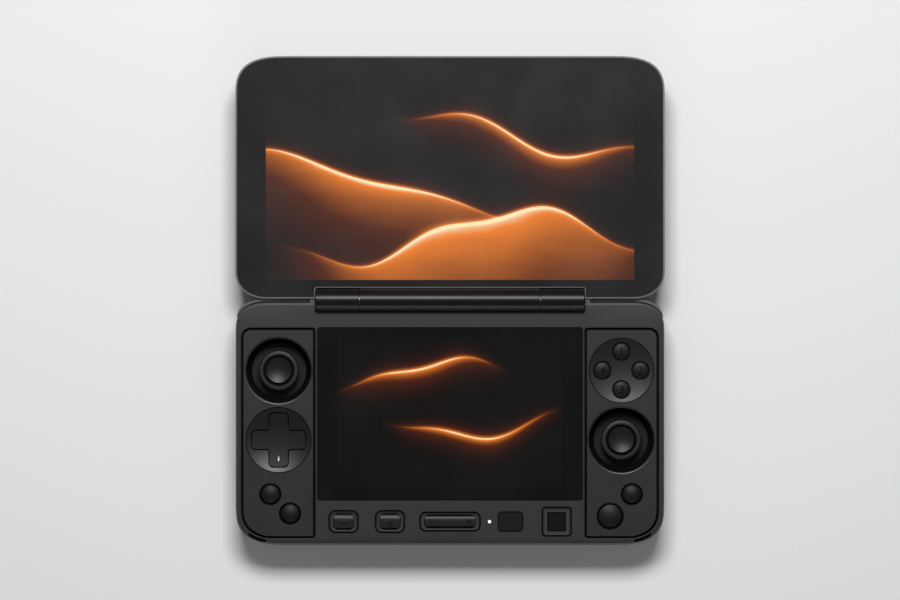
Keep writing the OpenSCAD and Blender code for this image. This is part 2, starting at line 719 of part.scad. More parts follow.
module left_control_panel() {
    color("#343538") {
        difference() {
            mirror([1, 0, 0]) panel_body();
            well_mouth(left_stick);
            dish_cut(dpad, pad_dish_r, pad_dish_depth);
            translate([dpad.x, dpad.y, panel_z - 1]) linear_extrude(panel_t + 2) cross_plan(cross_gap);
            for (i = [0, 1]) ring_hole(small_spots[i], small_widths[i]);
        }
        translate([left_stick.x, left_stick.y, deck_z]) well_cup();
    }
}

module right_control_panel() {
    color("#343538") {
        difference() {
            panel_body();
            well_mouth(right_stick);
            dish_cut(face_mid, face_dish_r, face_dish_depth);
            for (s = face_spots) z_rod(face_d / 2 + face_gap, face_mid + face_pitch * s, panel_z - 1, deck_z);
            for (i = [2, 3]) ring_hole(small_spots[i], small_widths[i]);
        }
        translate([right_stick.x, right_stick.y, deck_z]) well_cup();
    }
}

// ---- Lower screen ----

module lower_screen_glass() {
    color("#141416") rounded_slab(lower_glass, lower_glass_r, [0, glass_mid_y], glass_z, glass_z + glass_t);
}

module lower_display_panel() {
    color("#26282c") rounded_slab([lower_panel.x, lower_panel.y], 0.6, [0, glass_mid_y],
        glass_z - lower_panel.z, glass_z);
}

// ---- Boards and what is on them ----

module main_board() {
    color("#1f4a35") difference() {
        union() {
            for (b = boards) slab(b[0], b[1], b[2], b[3], board_z, board_top_z);
        }
        for (s = concat(left_posts, right_posts)) z_rod(post_r + 0.4, s, board_z - 1, board_top_z + 1);
    }
}

module board_chips() {
    color("#3a3c40") {
        for (c = chips) translate([c[0], c[1], board_top_z]) linear_extrude(c[4])
            square([c[2], c[3]], center = true);
    }
}

module battery_pack() {
    color("#4b4d52") slab(-battery.x / 2, battery.x / 2, battery_rear_y - battery.y, battery_rear_y, floor_z,
        floor_z + battery.z);
}

module heat_sink() {
    near = fan_mid.x - 17;
    far = fan_mid.x + 17.5;
    y0 = duct_y + 0.2;
    y1 = rear_y - wall - 0.2;
    color("#b87a4a") {
        for (x = [near:fin_pitch:far - fin_t]) slab(x, x + fin_t, y0, y1, floor_z + 2.7, fins_z);
        slab(near, far, y0, y1, fins_z - 0.6, fins_z);
    }
}

// A round pipe that lies across the fins and bends to the plate over the main chip
module heat_pipe() {
    pipe_r = 1.4;
    bend_r = 8;
    pipe_z = fins_z + pipe_r;
    pipe_y = duct_y + 2.2;
    chip = chips[0];
    color("#c88555") {
        x_rod(pipe_r, fan_mid.x - 16, chip[0] - bend_r, pipe_y, pipe_z);
        translate([chip[0] - bend_r, pipe_y - bend_r, pipe_z]) rotate_extrude(angle = 90)
            translate([bend_r, 0]) circle(pipe_r);
        y_rod(pipe_r, chip[1] - 6, pipe_y - bend_r, chip[0], pipe_z);
        translate([chip[0], chip[1], board_top_z + chip[4]])
            linear_extrude(fins_z + 0.4 - board_top_z - chip[4])
                square([chip[2] - 2, chip[3] - 2], center = true);
    }
}

// Blower housing: open below for the intake and at the rear towards the fins
module fan_housing() {
    half = fan_box.x / 2;
    top_z = fan_z + fan_box.y;
    color("#2b2c2e") {
        difference() {
            slab(fan_mid.x - half, fan_mid.x + half, fan_mid.y - half, duct_y, fan_z, top_z);
            z_rod(rotor_r + 1.6, fan_mid, fan_z + 0.8, top_z - 0.8);
            slab(fan_mid.x - half + 1, fan_mid.x + half - 1, fan_mid.y, duct_y + 1, fan_z + 0.8, top_z - 0.8);
            z_rod(11, fan_mid, fan_z - 1, fan_z + 1);
        }
        z_rod(4, fan_mid, fan_z, fan_z + 0.8);
        for (a = [0, 120, 240]) translate([fan_mid.x, fan_mid.y, fan_z]) rotate(a)
            translate([0, -1, 0]) cube([12, 2, 0.8]);
        z_rod(key_pin_r, fan_mid, fan_z, fan_z + 5.4);
    }
}

// A cup on the fan's pin, with blades that curve back from it
module fan_rotor() {
    hub_r = 6.5;
    low_z = fan_z + 1.4;
    high_z = fan_z + fan_box.y - 1.4;
    steps = 5;
    lean = function(r) 28 * (r - hub_r) / (rotor_r - hub_r);
    radii = [for (i = [0:steps]) hub_r - 0.4 + (rotor_r - hub_r + 0.4) * i / steps];
    side = function(shift) [for (r = radii) let (a = lean(r) + shift * 24 / r) [r * cos(a), r * sin(a)]];
    color("#202123") difference() {
        union() {
            z_rod(hub_r, fan_mid, low_z, high_z);
            for (k = [0:blade_count - 1]) translate([fan_mid.x, fan_mid.y, low_z])
                rotate(360 * k / blade_count) linear_extrude(high_z - low_z)
                    polygon(concat(side(-1), backwards(side(1))));
        }
        z_rod(key_pin_r + pin_gap, fan_mid, low_z - 1, fan_z + 5.6);
    }
}

module speakers() {
    color("#26272a") both() {
        rounded_slab([speaker.x, speaker.y], 2, speaker_spot, floor_z, floor_z + speaker.z);
        z_rod(3.6, speaker_spot, floor_z + speaker.z - 1, floor_z + speaker.z + 0.6);
    }
}

module vibration_motors() {
    color("#9a9ca0") both() z_rod(motor[0], motor_spot, floor_z, floor_z + motor[1]);
}

// ---- Sticks ----

// The box of one stick module: open at the top for the dome, with bores for the yoke
module stick_housing() {
    top = 2.1;
    translate([0, 0, pivot_z]) difference() {
        translate([-stick_box / 2, -stick_box / 2, -stick_below])
            cube([stick_box, stick_box, stick_below + top]);
        translate([0, 0, -stick_below + 1]) cylinder(r = dome_r + 0.6, h = stick_below + top);
        x_rod(key_pin_r - 0.2 + pin_gap, -stick_box, stick_box, 0, 0);
        for (x = [-1, 1], y = [-1, 1]) translate([x * (stick_box / 2), y * (stick_box / 2), 0])
            cylinder(r = 2.4, h = top + 1);
    }
}

module stick_housings() {
    color("#55585c") {
        translate([left_stick.x, left_stick.y, 0]) stick_housing();
        translate([right_stick.x, right_stick.y, 0]) stick_housing();
    }
}

// The gimbal ring: it turns about X on two stubs and carries the shaft's cross pin
module stick_yoke(spot) {
    stub_r = key_pin_r - 0.2;
    color("#8d9094") translate([spot.x, spot.y, pivot_z]) difference() {
        union() {
            translate([0, 0, -1.1]) cylinder(r = ring_r, h = 2.2);
            x_rod(stub_r, -stick_box / 2 + 0.3, stick_box / 2 - 0.3, 0, 0);
        }
        translate([0, 0, -2]) cylinder(r = ring_r - 1.4, h = 4);
        y_rod(cross_pin_r + pin_gap, -ring_r - 1, ring_r + 1, 0, 0);
    }
}

module stick_shaft(spot) {
    dome_t = 0.8;
    rise = 27;
    top = cap_under + cap_bore_depth - stick_click - 0.1;
    color("#1c1d1f") translate([spot.x, spot.y, pivot_z]) {
        turned(concat([[0, -1.6], [1.9, -1.6], [1.9, dome_r - dome_t - 0.5]],
            turned_arc(dome_r - dome_t, 0, 64, asin(dome_r * sin(rise) / (dome_r - dome_t))),
            turned_arc(dome_r, 0, rise, 76, 8), [[cap_bore_r - 0.05, dome_r - 0.1],
            [cap_bore_r - 0.05, top], [0, top]]));
        y_rod(cross_pin_r, -ring_r - 0.3, ring_r + 0.3, 0, 0);
    }
}

// The thumb cap: a flat ring, a moat inside it and a hollow disc in the middle
module stick_cap(spot) {
    under = cap_under;
    top = stick_depth - cap_sink;
    ring_in = cap_r - cap_ring;
    disc_r = ring_in - cap_moat[0];
    moat_z = top - cap_moat[1];
    color("#232427") translate([spot.x, spot.y, pivot_z]) turned(concat(
        [[cap_bore_r, under - 0.8], [2.2, under - 0.8], [2.2, under], [cap_r - 0.35, under],
            [cap_r, under + 0.3], [cap_r, top - 0.9]],
        [for (i = [1:5]) let (t = 90 * i / 5) [cap_r - 1.1 * (1 - cos(t)), top - 0.9 + 0.9 * sin(t)]],
        [[ring_in + 0.2, top], [ring_in, top - 0.2], [ring_in, moat_z], [disc_r, moat_z], [disc_r, top - 0.3],
            [disc_r - 0.15, top - 0.12]],
        [for (i = [6:-1:0]) let (s = i / 6) [(disc_r - 0.4) * s, top - 0.2 - cap_hollow * (1 - pow(s, 2))]],
        [[0, under + cap_bore_depth], [cap_bore_r, under + cap_bore_depth]]));
}

// ---- Direction pad ----

module cross_plan(grow) {
    fillet_r = 1;
    for (a = [0, 90]) rotate(a) rounded([cross_len + 2 * grow, cross_w + 2 * grow], 1.7 + grow);
    inner = cross_w / 2 + grow;
    for (a = [0:90:270]) rotate(a) difference() {
        translate([inner - eps, inner - eps]) square(fillet_r + eps);
        translate([inner + fillet_r, inner + fillet_r]) circle(fillet_r);
    }
}

// The spider under the cross: it turns about X in two ears and carries the cross about Y
module dpad_pivot() {
    reach = ear_in + ear_t;
    color("#8d9094") translate([dpad.x, dpad.y, deck_z - pad_depth]) {
        x_rod(spider_r, -reach, reach, 0, 0);
        y_rod(spider_r, -reach, reach, 0, 0);
        translate([0, 0, -1]) cylinder(r = 1.6, h = 2);
    }
}

module dpad_cross() {
    under = 4;
    sphere_r = (pow(cross_len / 2, 2) + pow(cross_hollow, 2)) / (2 * cross_hollow);
    color("#2a2b2e") translate([dpad.x, dpad.y, deck_z]) difference() {
        union() {
            translate([0, 0, -under]) linear_extrude(under - cross_sink) cross_plan(0);
            for (y = [-1, 1]) translate([0, y * (ear_in + ear_t / 2), -pad_depth / 2 - under / 2 - 0.3])
                cube([2.8, ear_t, pad_depth - under + 1.8], center = true);
        }
        translate([0, 0, -cross_sink - cross_hollow + sphere_r]) sphere(sphere_r, $fn = 160);
        y_rod(spider_r + pin_gap, -cross_len, cross_len, 0, -pad_depth);
    }
}

// ---- Buttons ----

// A round button with a domed top, a flange below the panel and a plunger down to the membrane
module round_button(spot, d, top, dome, tint) {
    plunger = deck_z - membrane_z - button_travel - plunger_gap;
    flange = panel_t + 0.1;
    r = d / 2;
    color(tint) translate([spot.x, spot.y, deck_z]) turned(concat(
        [[0, -plunger], [plunger_r, -plunger], [plunger_r, -flange - flange_t],
            [r + flange_w, -flange - flange_t], [r + flange_w, -flange], [r, -flange], [r, top - dome - 0.3]],
        [for (i = [0:5]) let (s = 1 - i / 5) [(r - 0.3) * s, top - dome * pow(s, 2.2)]]));
}

module face_button(k) {
    round_button(face_mid + face_pitch * face_spots[k], face_d, face_top, 0.5, "#2d2e31");
}

module small_button(k) {
    round_button(small_spots[k], small_widths[k], small_top, 0.9, "#2d2e31");
}

module row_key_body(spot, key, top, tint) {
    flange = deck_t + 0.1;
    foot = deck_z - front_board_top_z - 0.7 - key_travel - plunger_gap;
    color(tint) {
        rounded_slab(key, key.z, spot, deck_z - flange - flange_t, deck_z + top);
        rounded_slab([key.x + 1.6, key.y + 1.6], key.z + 0.8, spot, deck_z - flange - flange_t,
            deck_z - flange);
        z_rod(plunger_r, spot, deck_z - foot, deck_z - flange);
    }
}

// What the crown of a row key leaves off its flat top: a short roll to the rear and a long one to the front
module crown_cut(size, top, drop) {
    for (side = [1, -1]) let (run = size.y / 2 - side * key_ridge, r = (run * run + drop * drop) / (2 * drop))
        translate([0, key_ridge, top - r]) rotate([0, 90, 0]) difference() {
            translate([-r - 1, side > 0 ? 0 : -size.y, -size.x / 2 - 1]) cube([r + 1, size.y, size.x + 2]);
            translate([0, 0, -size.x / 2 - 2]) cylinder(r = r, h = size.x + 4, $fn = 96);
        }
}

module row_key_solid(k) {
    top = 0.2;
    difference() {
        row_key_body([row_x[k], row_y], row_key, top, "#2f3033");
        translate([row_x[k], row_y, deck_z]) crown_cut(row_key, top, 0.9);
    }
}

module volume_rocker() {
    under = deck_t + 0.7;
    color("#2f3033") translate([0, row_y, deck_z]) {
        difference() {
            translate([0, 0, -under]) linear_extrude(under) rounded(rocker, rocker.z);
            crown_cut(rocker, 0, 0.7);
        }
        translate([-1.6, -1.6, -rocker_depth - 0.9]) cube([3.2, 3.2, rocker_depth - under + 1.4]);
        y_rod(rocker_pin_r, -rocker_ear - 1.2, rocker_ear + 1.2, 0, -rocker_depth);
    }
}

module pointer_key() {
    row_key_body([row_x[3], row_y], pointer, -0.3, "#151517");
}

module fingerprint_sensor() {
    color("#1b1c1e") rounded_slab(finger, finger.z, [row_x[2], row_y], deck_z - 2.6, deck_z - 0.2);
}

module status_led() {
    color("white") z_rod(led_d / 2, [led_x, row_y], deck_z - 2.6, deck_z - 0.1);
}

// ---- Button boards, with ears and switches, and the rubber on them ----

module side_board_plan(y0, y1, inset) {
    intersection() {
        polygon(base_outline(wall + inset));
        translate([panel_in_x + inset, y0]) square([40, y1 - y0]);
    }
}

module button_boards() {
    top = deck_z - button_board_depth;
    well_edge = well_r + 1.6;
    color("#1f4a35") {
        mirror([1, 0, 0]) translate([0, 0, button_board_z]) linear_extrude(board_t)
            side_board_plan(front_y + 5, upper_y - well_edge, 0.8);
        translate([0, 0, button_board_z]) linear_extrude(board_t)
            side_board_plan(lower_y + well_edge, panel_rear_y - 1, 0.8);
        translate([0, 0, button_board_z]) linear_extrude(board_t)
            side_board_plan(front_y + 5, lower_y - well_edge, 0.8);
        difference() {
            slab(row_x[0] - 5.3, row_x[3] + 5.2, row_y - 5.2, row_y + 5.2, front_board_top_z - board_t,
                front_board_top_z);
            for (s = screw_spots) z_rod(boss_r + 0.2, s, front_board_top_z - 2 * board_t,
                front_board_top_z + 1);
        }
    }
    color("#a0a2a6") {
        for (x = [-1, 1]) translate([dpad.x + x * (ear_in + ear_t / 2), dpad.y, 0]) difference() {
            slab(-ear_t / 2, ear_t / 2, -1.4, 1.4, top, deck_z - pad_depth + 1);
            x_rod(spider_r + pin_gap, -2, 2, 0, deck_z - pad_depth);
        }
        for (y = [-1, 1]) translate([0, row_y + y * (rocker_ear + 0.6), 0]) difference() {
            slab(-1.4, 1.4, -0.6, 0.6, front_board_top_z, deck_z - rocker_depth + 1.1);
            y_rod(rocker_pin_r + pin_gap, -2, 2, 0, deck_z - rocker_depth);
        }
        for (k = [0, 1, 3]) z_rod(2, [row_x[k], row_y], front_board_top_z, front_board_top_z + 0.7);
        z_rod(1.5, [row_x[2], row_y], front_board_top_z, deck_z - 2.6);
        z_rod(0.7, [led_x, row_y], front_board_top_z, deck_z - 2.6);
    }
}

module button_membranes() {
    top = deck_z - button_board_depth;
    color("#56585c") {
        translate([dpad.x, dpad.y, top]) linear_extrude(membrane_t) difference() {
            circle(13);
            square(11, center = true);
        }
        for (k = [0:3]) z_rod(5, face_mid + face_pitch * face_spots[k], top, membrane_z);
        z_rod(5, face_mid, top, membrane_z);
        for (s = small_spots) z_rod(4.4, s, top, membrane_z);
    }
}

// ---- Ports ----

module charging_ports() {
    color("#a8aaae") for (x = port_x) translate([x, rear_y - 0.3, port_z]) rotate([90, 0, 0]) difference() {
        linear_extrude(port_len) rounded([port.x, port.y], port.z);
        translate([0, 0, -1]) linear_extrude(port_len)
            rounded([port.x - 2 * port_t, port.y - 2 * port_t], port.z - port_t);
    }
}

module headphone_jack() {
    color("#2a2b2d") difference() {
        union() {
            slab(jack_x - 3, jack_x + 3, rear_y - wall - 0.2 - jack_depth, rear_y - wall - 0.2, board_top_z,
                jack_z + 2.6);
            y_rod(jack_r + 1, rear_y - wall - 1, rear_y - 0.2, jack_x, jack_z);
        }
        y_rod(jack_r, rear_y - jack_depth, rear_y + 1, jack_x, jack_z);
    }
}

module card_reader() {
    color("#a8aaae") difference() {
        translate([-card.x / 2, front_y + wall + 0.1, card_z]) cube(card);
        slab(-card_slot.x / 2 + 0.2, card_slot.x / 2 - 0.2, front_y, front_y + 13, card_slot_z,
            card_slot_z + card_slot.y);
    }
}

// ---- Outside fittings ----

module rubber_feet() {
    color("#18181a") for (s = foot_spots)
        rounded_slab([foot_size.x, foot_size.y], foot_size.z, s, 0, base_z + 0.6);
}

module case_screws() {
    color("#8a8c90") for (s = screw_spots) {
        z_rod(screw_r, s, base_z + 1.4, boss_z + 5);
        z_rod(1.9, s, base_z + 1.4, base_z + 2.6);
    }
}

module power_button() {
    color("#4a4c50") translate([body_w / 2, power_y, power_z]) rotate([0, 90, 0]) {
        translate([0, 0, -wall - 1]) linear_extrude(wall + 1.3)
            rounded([power_key.x, power_key.y], power_key.z);
        translate([0, 0, -wall - 1.1]) linear_extrude(1)
            rounded([power_key.x + 2, power_key.y + 2], power_key.z + 0.35);
    }
}

// ---- Shoulder keys ----

function shoulder_outline(inset) = outline(body_w - 2 * shoulder_side, front_y, shoulder_y, far_corner,
    shoulder_out, inset);

// The curved plate of a shoulder key, round the right rear corner
module shoulder_plate(z0, h) {
    translate([0, 0, z0]) linear_extrude(h) intersection() {
        difference() {
            polygon(shoulder_outline(0));
            polygon(shoulder_outline(shoulder_t));
        }
        translate([pocket_x + 1.9, shoulder_end_y]) square([60, 20]);
    }
}

// A bumper turns about an upright pin near its inner end
module bumper() {
    color("#5c5e62") difference() {
        union() {
            difference() {
                shoulder_plate(bumper_z, bumper_h);
                prism(base_outline(-0.4), bumper_z + bumper_h - 1.2, lip_z);
            }
            slab(bumper_pin.x - 1.2, bumper_pin.x + 1.2, bumper_pin.y, shoulder_y - 1, bumper_z,
                bumper_z + bumper_h);
            z_rod(key_pin_r + 0.9, bumper_pin, bumper_z, bumper_z + bumper_h);
            slab(bumper_pin.x, body_w / 2 - 6, shoulder_y - shoulder_t - 0.8, shoulder_y - 1, bumper_z + 2.6,
                bumper_z + 4.4);
        }
        z_rod(key_pin_r + pin_gap, bumper_pin, bumper_z - 1, bumper_z + bumper_h + 1);
    }
}

// A trigger turns about a pin along X near its upper edge
module trigger() {
    color("#54565a") {
        shoulder_plate(trigger_z, trigger_h);
        x_rod(key_pin_r, pocket_x - wall + 0.2, trigger_lug_x + 2.2, trigger_pin_y, trigger_pin_z);
        for (x = [pocket_x + 3, trigger_lug_x - 5]) hull() {
            x_rod(key_pin_r + 0.5, x, x + 2, trigger_pin_y, trigger_pin_z);
            slab(x, x + 2, shoulder_y - 1.4, shoulder_y - 1, trigger_z + 1, trigger_z + trigger_h - 0.4);
        }
    }
}

// ---- Hinge ----

// The base's leaf: a plate under the faceplate that runs into the knuckle
module base_leaf_plate(gap) {
    slab(leaf_x[0] - gap, leaf_x[1] + gap, rear_y - 11 - gap, -1.5, axis_z - leaf_drop - leaf_t / 2 - gap,
        axis_z - leaf_drop + leaf_t / 2 + gap);
}

module sleeve(x0, x1) {
    difference() {
        x_rod(sleeve_r, x0, x1, 0, axis_z);
        x_rod(shaft_r + pin_gap, x0 - 1, x1 + 1, 0, axis_z);
    }
}

module base_hinge_leaves() {
    color("#8d9094") both() {
        difference() {
            union() {
                base_leaf_plate(0);
                slab(leaf_x[0], leaf_x[1], -2.2, -1.2, axis_z - leaf_drop - leaf_t / 2,
                    axis_z - shaft_r - 0.4);
            }
            z_rod(boss_r + 0.1, screw_spots[2], under_z - 3, deck_z);
            x_rod(shaft_r + pin_gap, leaf_x[0] - 1, leaf_x[1] + 1, 0, axis_z);
        }
        sleeve(leaf_x[0], leaf_x[1]);
    }
}

module hinge_knuckles() {
    color("#1d1e20") both() difference() {
        union() {
            x_rod(barrel_r, barrel_end + seam_gap, hinge_end, 0, axis_z);
            intersection() {
                x_rod(base_trough_r - 0.02, barrel_end + seam_gap, hinge_end, 0, axis_z);
                slab(barrel_end, hinge_end, -barrel_r - 2, -1, axis_z - barrel_r - 1, deck_z);
            }
        }
        x_rod(sleeve_r + 0.1, barrel_end - 1, hinge_end - 1.3, 0, axis_z);
        base_leaf_plate(leaf_gap);
        slab(leaf_x[0] - 0.1, leaf_x[1] + 0.1, -2.3, -1, axis_z - leaf_drop - leaf_t / 2 - 0.1, axis_z);
    }
}

module hinge_shafts() {
    color("#b5b8bc") both() x_rod(shaft_r, shaft_in, shaft_in + shaft_len, 0, axis_z);
}

// The lid's leaf in section: it drops from the sleeve and runs out under the display
function lid_leaf_section(gap) =
    let (top = -lid_leaf_drop + leaf_t / 2 + gap, low = -lid_leaf_drop - leaf_t / 2 - gap)
    [[1.2 - gap, -2.6], [2.4 + gap, -2.6], [2.4 + gap, top], [20 + gap, top], [20 + gap, low],
        [1.2 - gap, low]];

module lid_leaf_plate(gap) {
    translate([lid_leaf_x[0] - gap, 0, axis_z]) rotate([90, 0, 90])
        linear_extrude(lid_leaf_x[1] - lid_leaf_x[0] + 2 * gap) polygon(lid_leaf_section(gap));
}

module lid_hinge_leaves() {
    color("#8d9094") both() {
        difference() {
            lid_leaf_plate(0);
            x_rod(shaft_r + pin_gap, lid_leaf_x[0] - 1, lid_leaf_x[1] + 1, 0, axis_z);
        }
        sleeve(lid_leaf_x[0], lid_leaf_x[1]);
    }
}

module hinge_barrel() {
    color("#1d1e20") difference() {
        union() {
            x_rod(barrel_r, -barrel_end, barrel_end, 0, axis_z);
            intersection() {
                x_rod(lid_trough_r - 0.02, -barrel_end, barrel_end, 0, axis_z);
                slab(-barrel_end, barrel_end, 0.9, barrel_r + 2, axis_z - barrel_r - 2, deck_z - 0.1);
            }
        }
        x_rod(barrel_bore_r, -barrel_end - 1, barrel_end + 1, 0, axis_z);
        both() lid_leaf_plate(leaf_gap);
        cable_path(0.2);
    }
}

// ---- Lid ----

// The lid's plan, set in by the given amounts along its outline and along the notch for the barrel
module lid_plan(inset, notch) {
    difference() {
        polygon(lid_outline(inset));
        translate([0, lid_near_y])
            rounded([2 * (trough_end + notch), 2 * (lid_trough_r - lid_near_y + notch)], 1 + notch / 2);
    }
}

module lid_back_cover() {
    outside = concat(edge_steps(lid_back_z, 4.6, 5.2, 0), [[rim_z, 0]]);
    inside = concat(edge_steps(lid_floor_z, 3.6, 4.2, wall), [[rim_z + 1, wall]]);
    color("#2b2c2f") difference() {
        loft([for (s = outside) at_height(lid_outline(s[1]), s[0])]);
        difference() {
            loft([for (s = inside) at_height(lid_outline(s[1]), s[0])]);
            barrel_trough(lid_trough_r + wall);
        }
        barrel_trough(lid_trough_r);
        both() lid_leaf_plate(leaf_gap);
        cable_path(0.2);
    }
}

module lid_rim() {
    color("#9a9ca0") difference() {
        union() {
            translate([0, 0, rim_z]) linear_extrude(deck_z - 0.25 - rim_z) lid_plan(0, 0);
            translate([0, 0, deck_z - 0.25]) linear_extrude(0.25) lid_plan(0.2, 0);
        }
        translate([0, 0, glass_z - 0.05]) linear_extrude(5) lid_plan(rim_t, notch_rim_t);
        translate([0, 0, rim_z - 1]) linear_extrude(5) lid_plan(rim_t + 1.1, notch_rim_t + 1.1);
    }
}

module upper_screen_glass() {
    color("#1b1b1d") translate([0, 0, glass_z]) linear_extrude(glass_t)
        lid_plan(rim_t + 0.05, notch_rim_t + 0.05);
}

module upper_display_panel() {
    color("#26282c") rounded_slab([upper_panel.x, upper_panel.y], 1,
        [0, lid_near_y + upper_panel_y + upper_panel.y / 2], glass_z - upper_panel.z, glass_z);
}

// The flat cable from the display down through the neck into the barrel, in section
module cable_path(gap) {
    translate([-7 - gap, 0, axis_z]) rotate([90, 0, 90]) linear_extrude(14 + 2 * gap) polygon([
        [2.8 - gap, -2.4], [3.1 + gap, -2.4], [3.1 + gap, -6 + gap], [12 + gap, -6 + gap],
        [12 + gap, -6.3 - gap], [2.8 - gap, -6.3 - gap]]);
}

module display_cable() {
    color("#b5803c") {
        cable_path(0);
        x_rod(1.6, -14, 14, 1.6, axis_z);
    }
}

// ---- Output ----

bottom_shell();
top_cover();
left_control_panel();
right_control_panel();
lower_screen_glass();
lower_display_panel();
main_board();
board_chips();
battery_pack();
heat_sink();
heat_pipe();
fan_housing();
fan_rotor();
speakers();
vibration_motors();
stick_housings();
button_boards();
button_membranes();
charging_ports();
headphone_jack();
card_reader();
status_led();
fingerprint_sensor();
rubber_feet();
case_screws();
base_hinge_leaves();
hinge_knuckles();
hinge_shafts();
lid_back_cover();
lid_rim();
upper_screen_glass();
upper_display_panel();
hinge_barrel();
lid_hinge_leaves();
display_cable();
stick_yoke(left_stick);  // left_stick_yoke
stick_shaft(left_stick);  // left_stick_shaft
stick_cap(left_stick);  // left_stick_cap
stick_yoke(right_stick);  // right_stick_yoke
stick_shaft(right_stick);  // right_stick_shaft
stick_cap(right_stick);  // right_stick_cap
dpad_pivot();
dpad_cross();
face_button(0);  // face_button_top
face_button(1);  // face_button_left
face_button(2);  // face_button_right
face_button(3);  // face_button_bottom
small_button(0);  // left_upper_button
small_button(1);  // left_lower_button
small_button(2);  // right_upper_button
small_button(3);  // right_lower_button
row_key_solid(0);  // left_row_key
row_key_solid(1);  // right_row_key
volume_rocker();
pointer_key();
mirror([1, 0, 0]) bumper();  // left_bumper
bumper();  // right_bumper
mirror([1, 0, 0]) trigger();  // left_trigger
trigger();  // right_trigger
power_button();
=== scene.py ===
"""Finishes, marks and a plain studio for a clamshell handheld game console, made round its fixed frame."""

import json
import math

import bmesh
import bpy
from bpy.props import FloatProperty, FloatVectorProperty, PointerProperty
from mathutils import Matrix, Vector

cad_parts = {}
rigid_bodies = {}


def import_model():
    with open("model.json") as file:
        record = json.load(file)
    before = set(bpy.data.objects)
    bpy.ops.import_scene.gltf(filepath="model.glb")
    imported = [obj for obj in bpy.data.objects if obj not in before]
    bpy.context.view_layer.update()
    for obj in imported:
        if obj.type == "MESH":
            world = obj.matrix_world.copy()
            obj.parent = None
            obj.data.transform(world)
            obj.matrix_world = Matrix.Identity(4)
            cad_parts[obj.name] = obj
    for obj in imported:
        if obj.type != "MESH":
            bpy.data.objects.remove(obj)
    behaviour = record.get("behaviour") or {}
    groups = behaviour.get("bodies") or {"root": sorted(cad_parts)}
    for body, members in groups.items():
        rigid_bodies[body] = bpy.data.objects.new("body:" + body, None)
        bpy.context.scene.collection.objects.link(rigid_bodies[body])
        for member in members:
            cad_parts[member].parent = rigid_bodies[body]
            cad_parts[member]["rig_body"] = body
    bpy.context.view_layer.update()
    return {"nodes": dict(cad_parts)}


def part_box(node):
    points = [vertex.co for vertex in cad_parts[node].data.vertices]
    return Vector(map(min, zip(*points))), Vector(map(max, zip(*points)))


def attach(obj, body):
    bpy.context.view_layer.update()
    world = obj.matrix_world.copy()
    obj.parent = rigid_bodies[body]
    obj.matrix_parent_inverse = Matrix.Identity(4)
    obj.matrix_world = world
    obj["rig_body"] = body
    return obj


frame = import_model()
NODES = frame["nodes"]
FACE_BUTTONS = [f"face_button_{side}" for side in ("top", "right", "bottom", "left")]

# In metres: a millimetre, the cells that a print is cut into, and the distance at which points are welded
MM = 0.001
PRINT_CELL = 0.45 * MM
WELD = 1e-7

# In millimetres: the rolled edge of a stick's well, the blur of a painted edge, and the windows of the two
# pictures in their glasses, as x0, x1, y0, y1
ROLLED_WIDTH, ROLLED_DROP = 0.5, 0.12
EDGE_BLUR = 0.04
UPPER_PICTURE = (-77.4, 77.4, 8.6, 97.2)
LOWER_PICTURE = (-47.4, 47.4, -78.8, -15.4)

# As shares: how far the painted shade in a gap turns it black, the painted highlight on slopes and the
# painted shade in dishes against the plastic's colour, and a numeral's height against its font's size
PAINTED_GAP_SHADE = 0.85
PAINTED_SLOPE_HIGHLIGHT, PAINTED_DISH_SHADE = 4.5, 0.4
NUMERAL_SHARE = 0.69

BLACK = (0, 0, 0)
BAR_END_STEPS = 8

bl_info = {
    "name": "Handheld console finishes",
    "version": (1, 0, 0),
    "blender": (4, 5, 0),
    "location": "3D View > Sidebar > Console",
    "description": "Dresses a clamshell handheld game console and sets it on a plain studio floor",
    "category": "Object",
}


# ---- Settings ----


def tint(name, description, *default):
    return FloatVectorProperty(name=name, description=description, default=default, min=0, max=1, size=3,
                               subtype="COLOR")


def length(name, description, mm):
    return FloatProperty(name=name, description=description, default=mm * MM, min=0, precision=5,
                         unit="LENGTH", subtype="DISTANCE")


def amount(name, description, default, top=1.0):
    return FloatProperty(name=name, description=description, default=default, min=0, max=top)


class ConsoleColours(bpy.types.PropertyGroup):
    """Colours of the console's finishes"""

    faceplate: tint("Faceplate", "Moulded plastic of the top cover", 0.011, 0.011, 0.0113)
    panel: tint("Control panels", "Moulded plastic of the sunk control panels", 0.0115, 0.0115, 0.0118)
    shell: tint("Shells", "Moulded plastic of the bottom shell and the lid's back", 0.02, 0.02, 0.021)
    key: tint("Keys", "Buttons, direction pad and front keys", 0.005, 0.005, 0.0052)
    mark: tint("Marks", "Print on the buttons and keys", 0.001, 0.001, 0.001)
    stick: tint("Stick caps", "Rubbery thumb caps", 0.018, 0.018, 0.0184)
    shoulder: tint("Shoulder keys", "Bumpers and triggers", 0.11, 0.11, 0.112)
    barrel: tint("Hinge barrel", "Glossy hinge barrel and knuckles", 0.006, 0.006, 0.0063)
    rim: tint("Lid rim", "Blasted metal rim round the lid's glass", 0.15, 0.15, 0.152)
    glass: tint("Glass", "Black print under both glasses", 0.0055, 0.0055, 0.0058)
    ember: tint("Picture, dim", "Dim end of the pictures' glow", 0.13, 0.02, 0.002)
    amber: tint("Picture, middle", "Middle of the pictures' glow", 0.84, 0.21, 0.02)
    crest: tint("Picture, bright", "Bright end of the pictures' glow", 1.0, 0.82, 0.48)


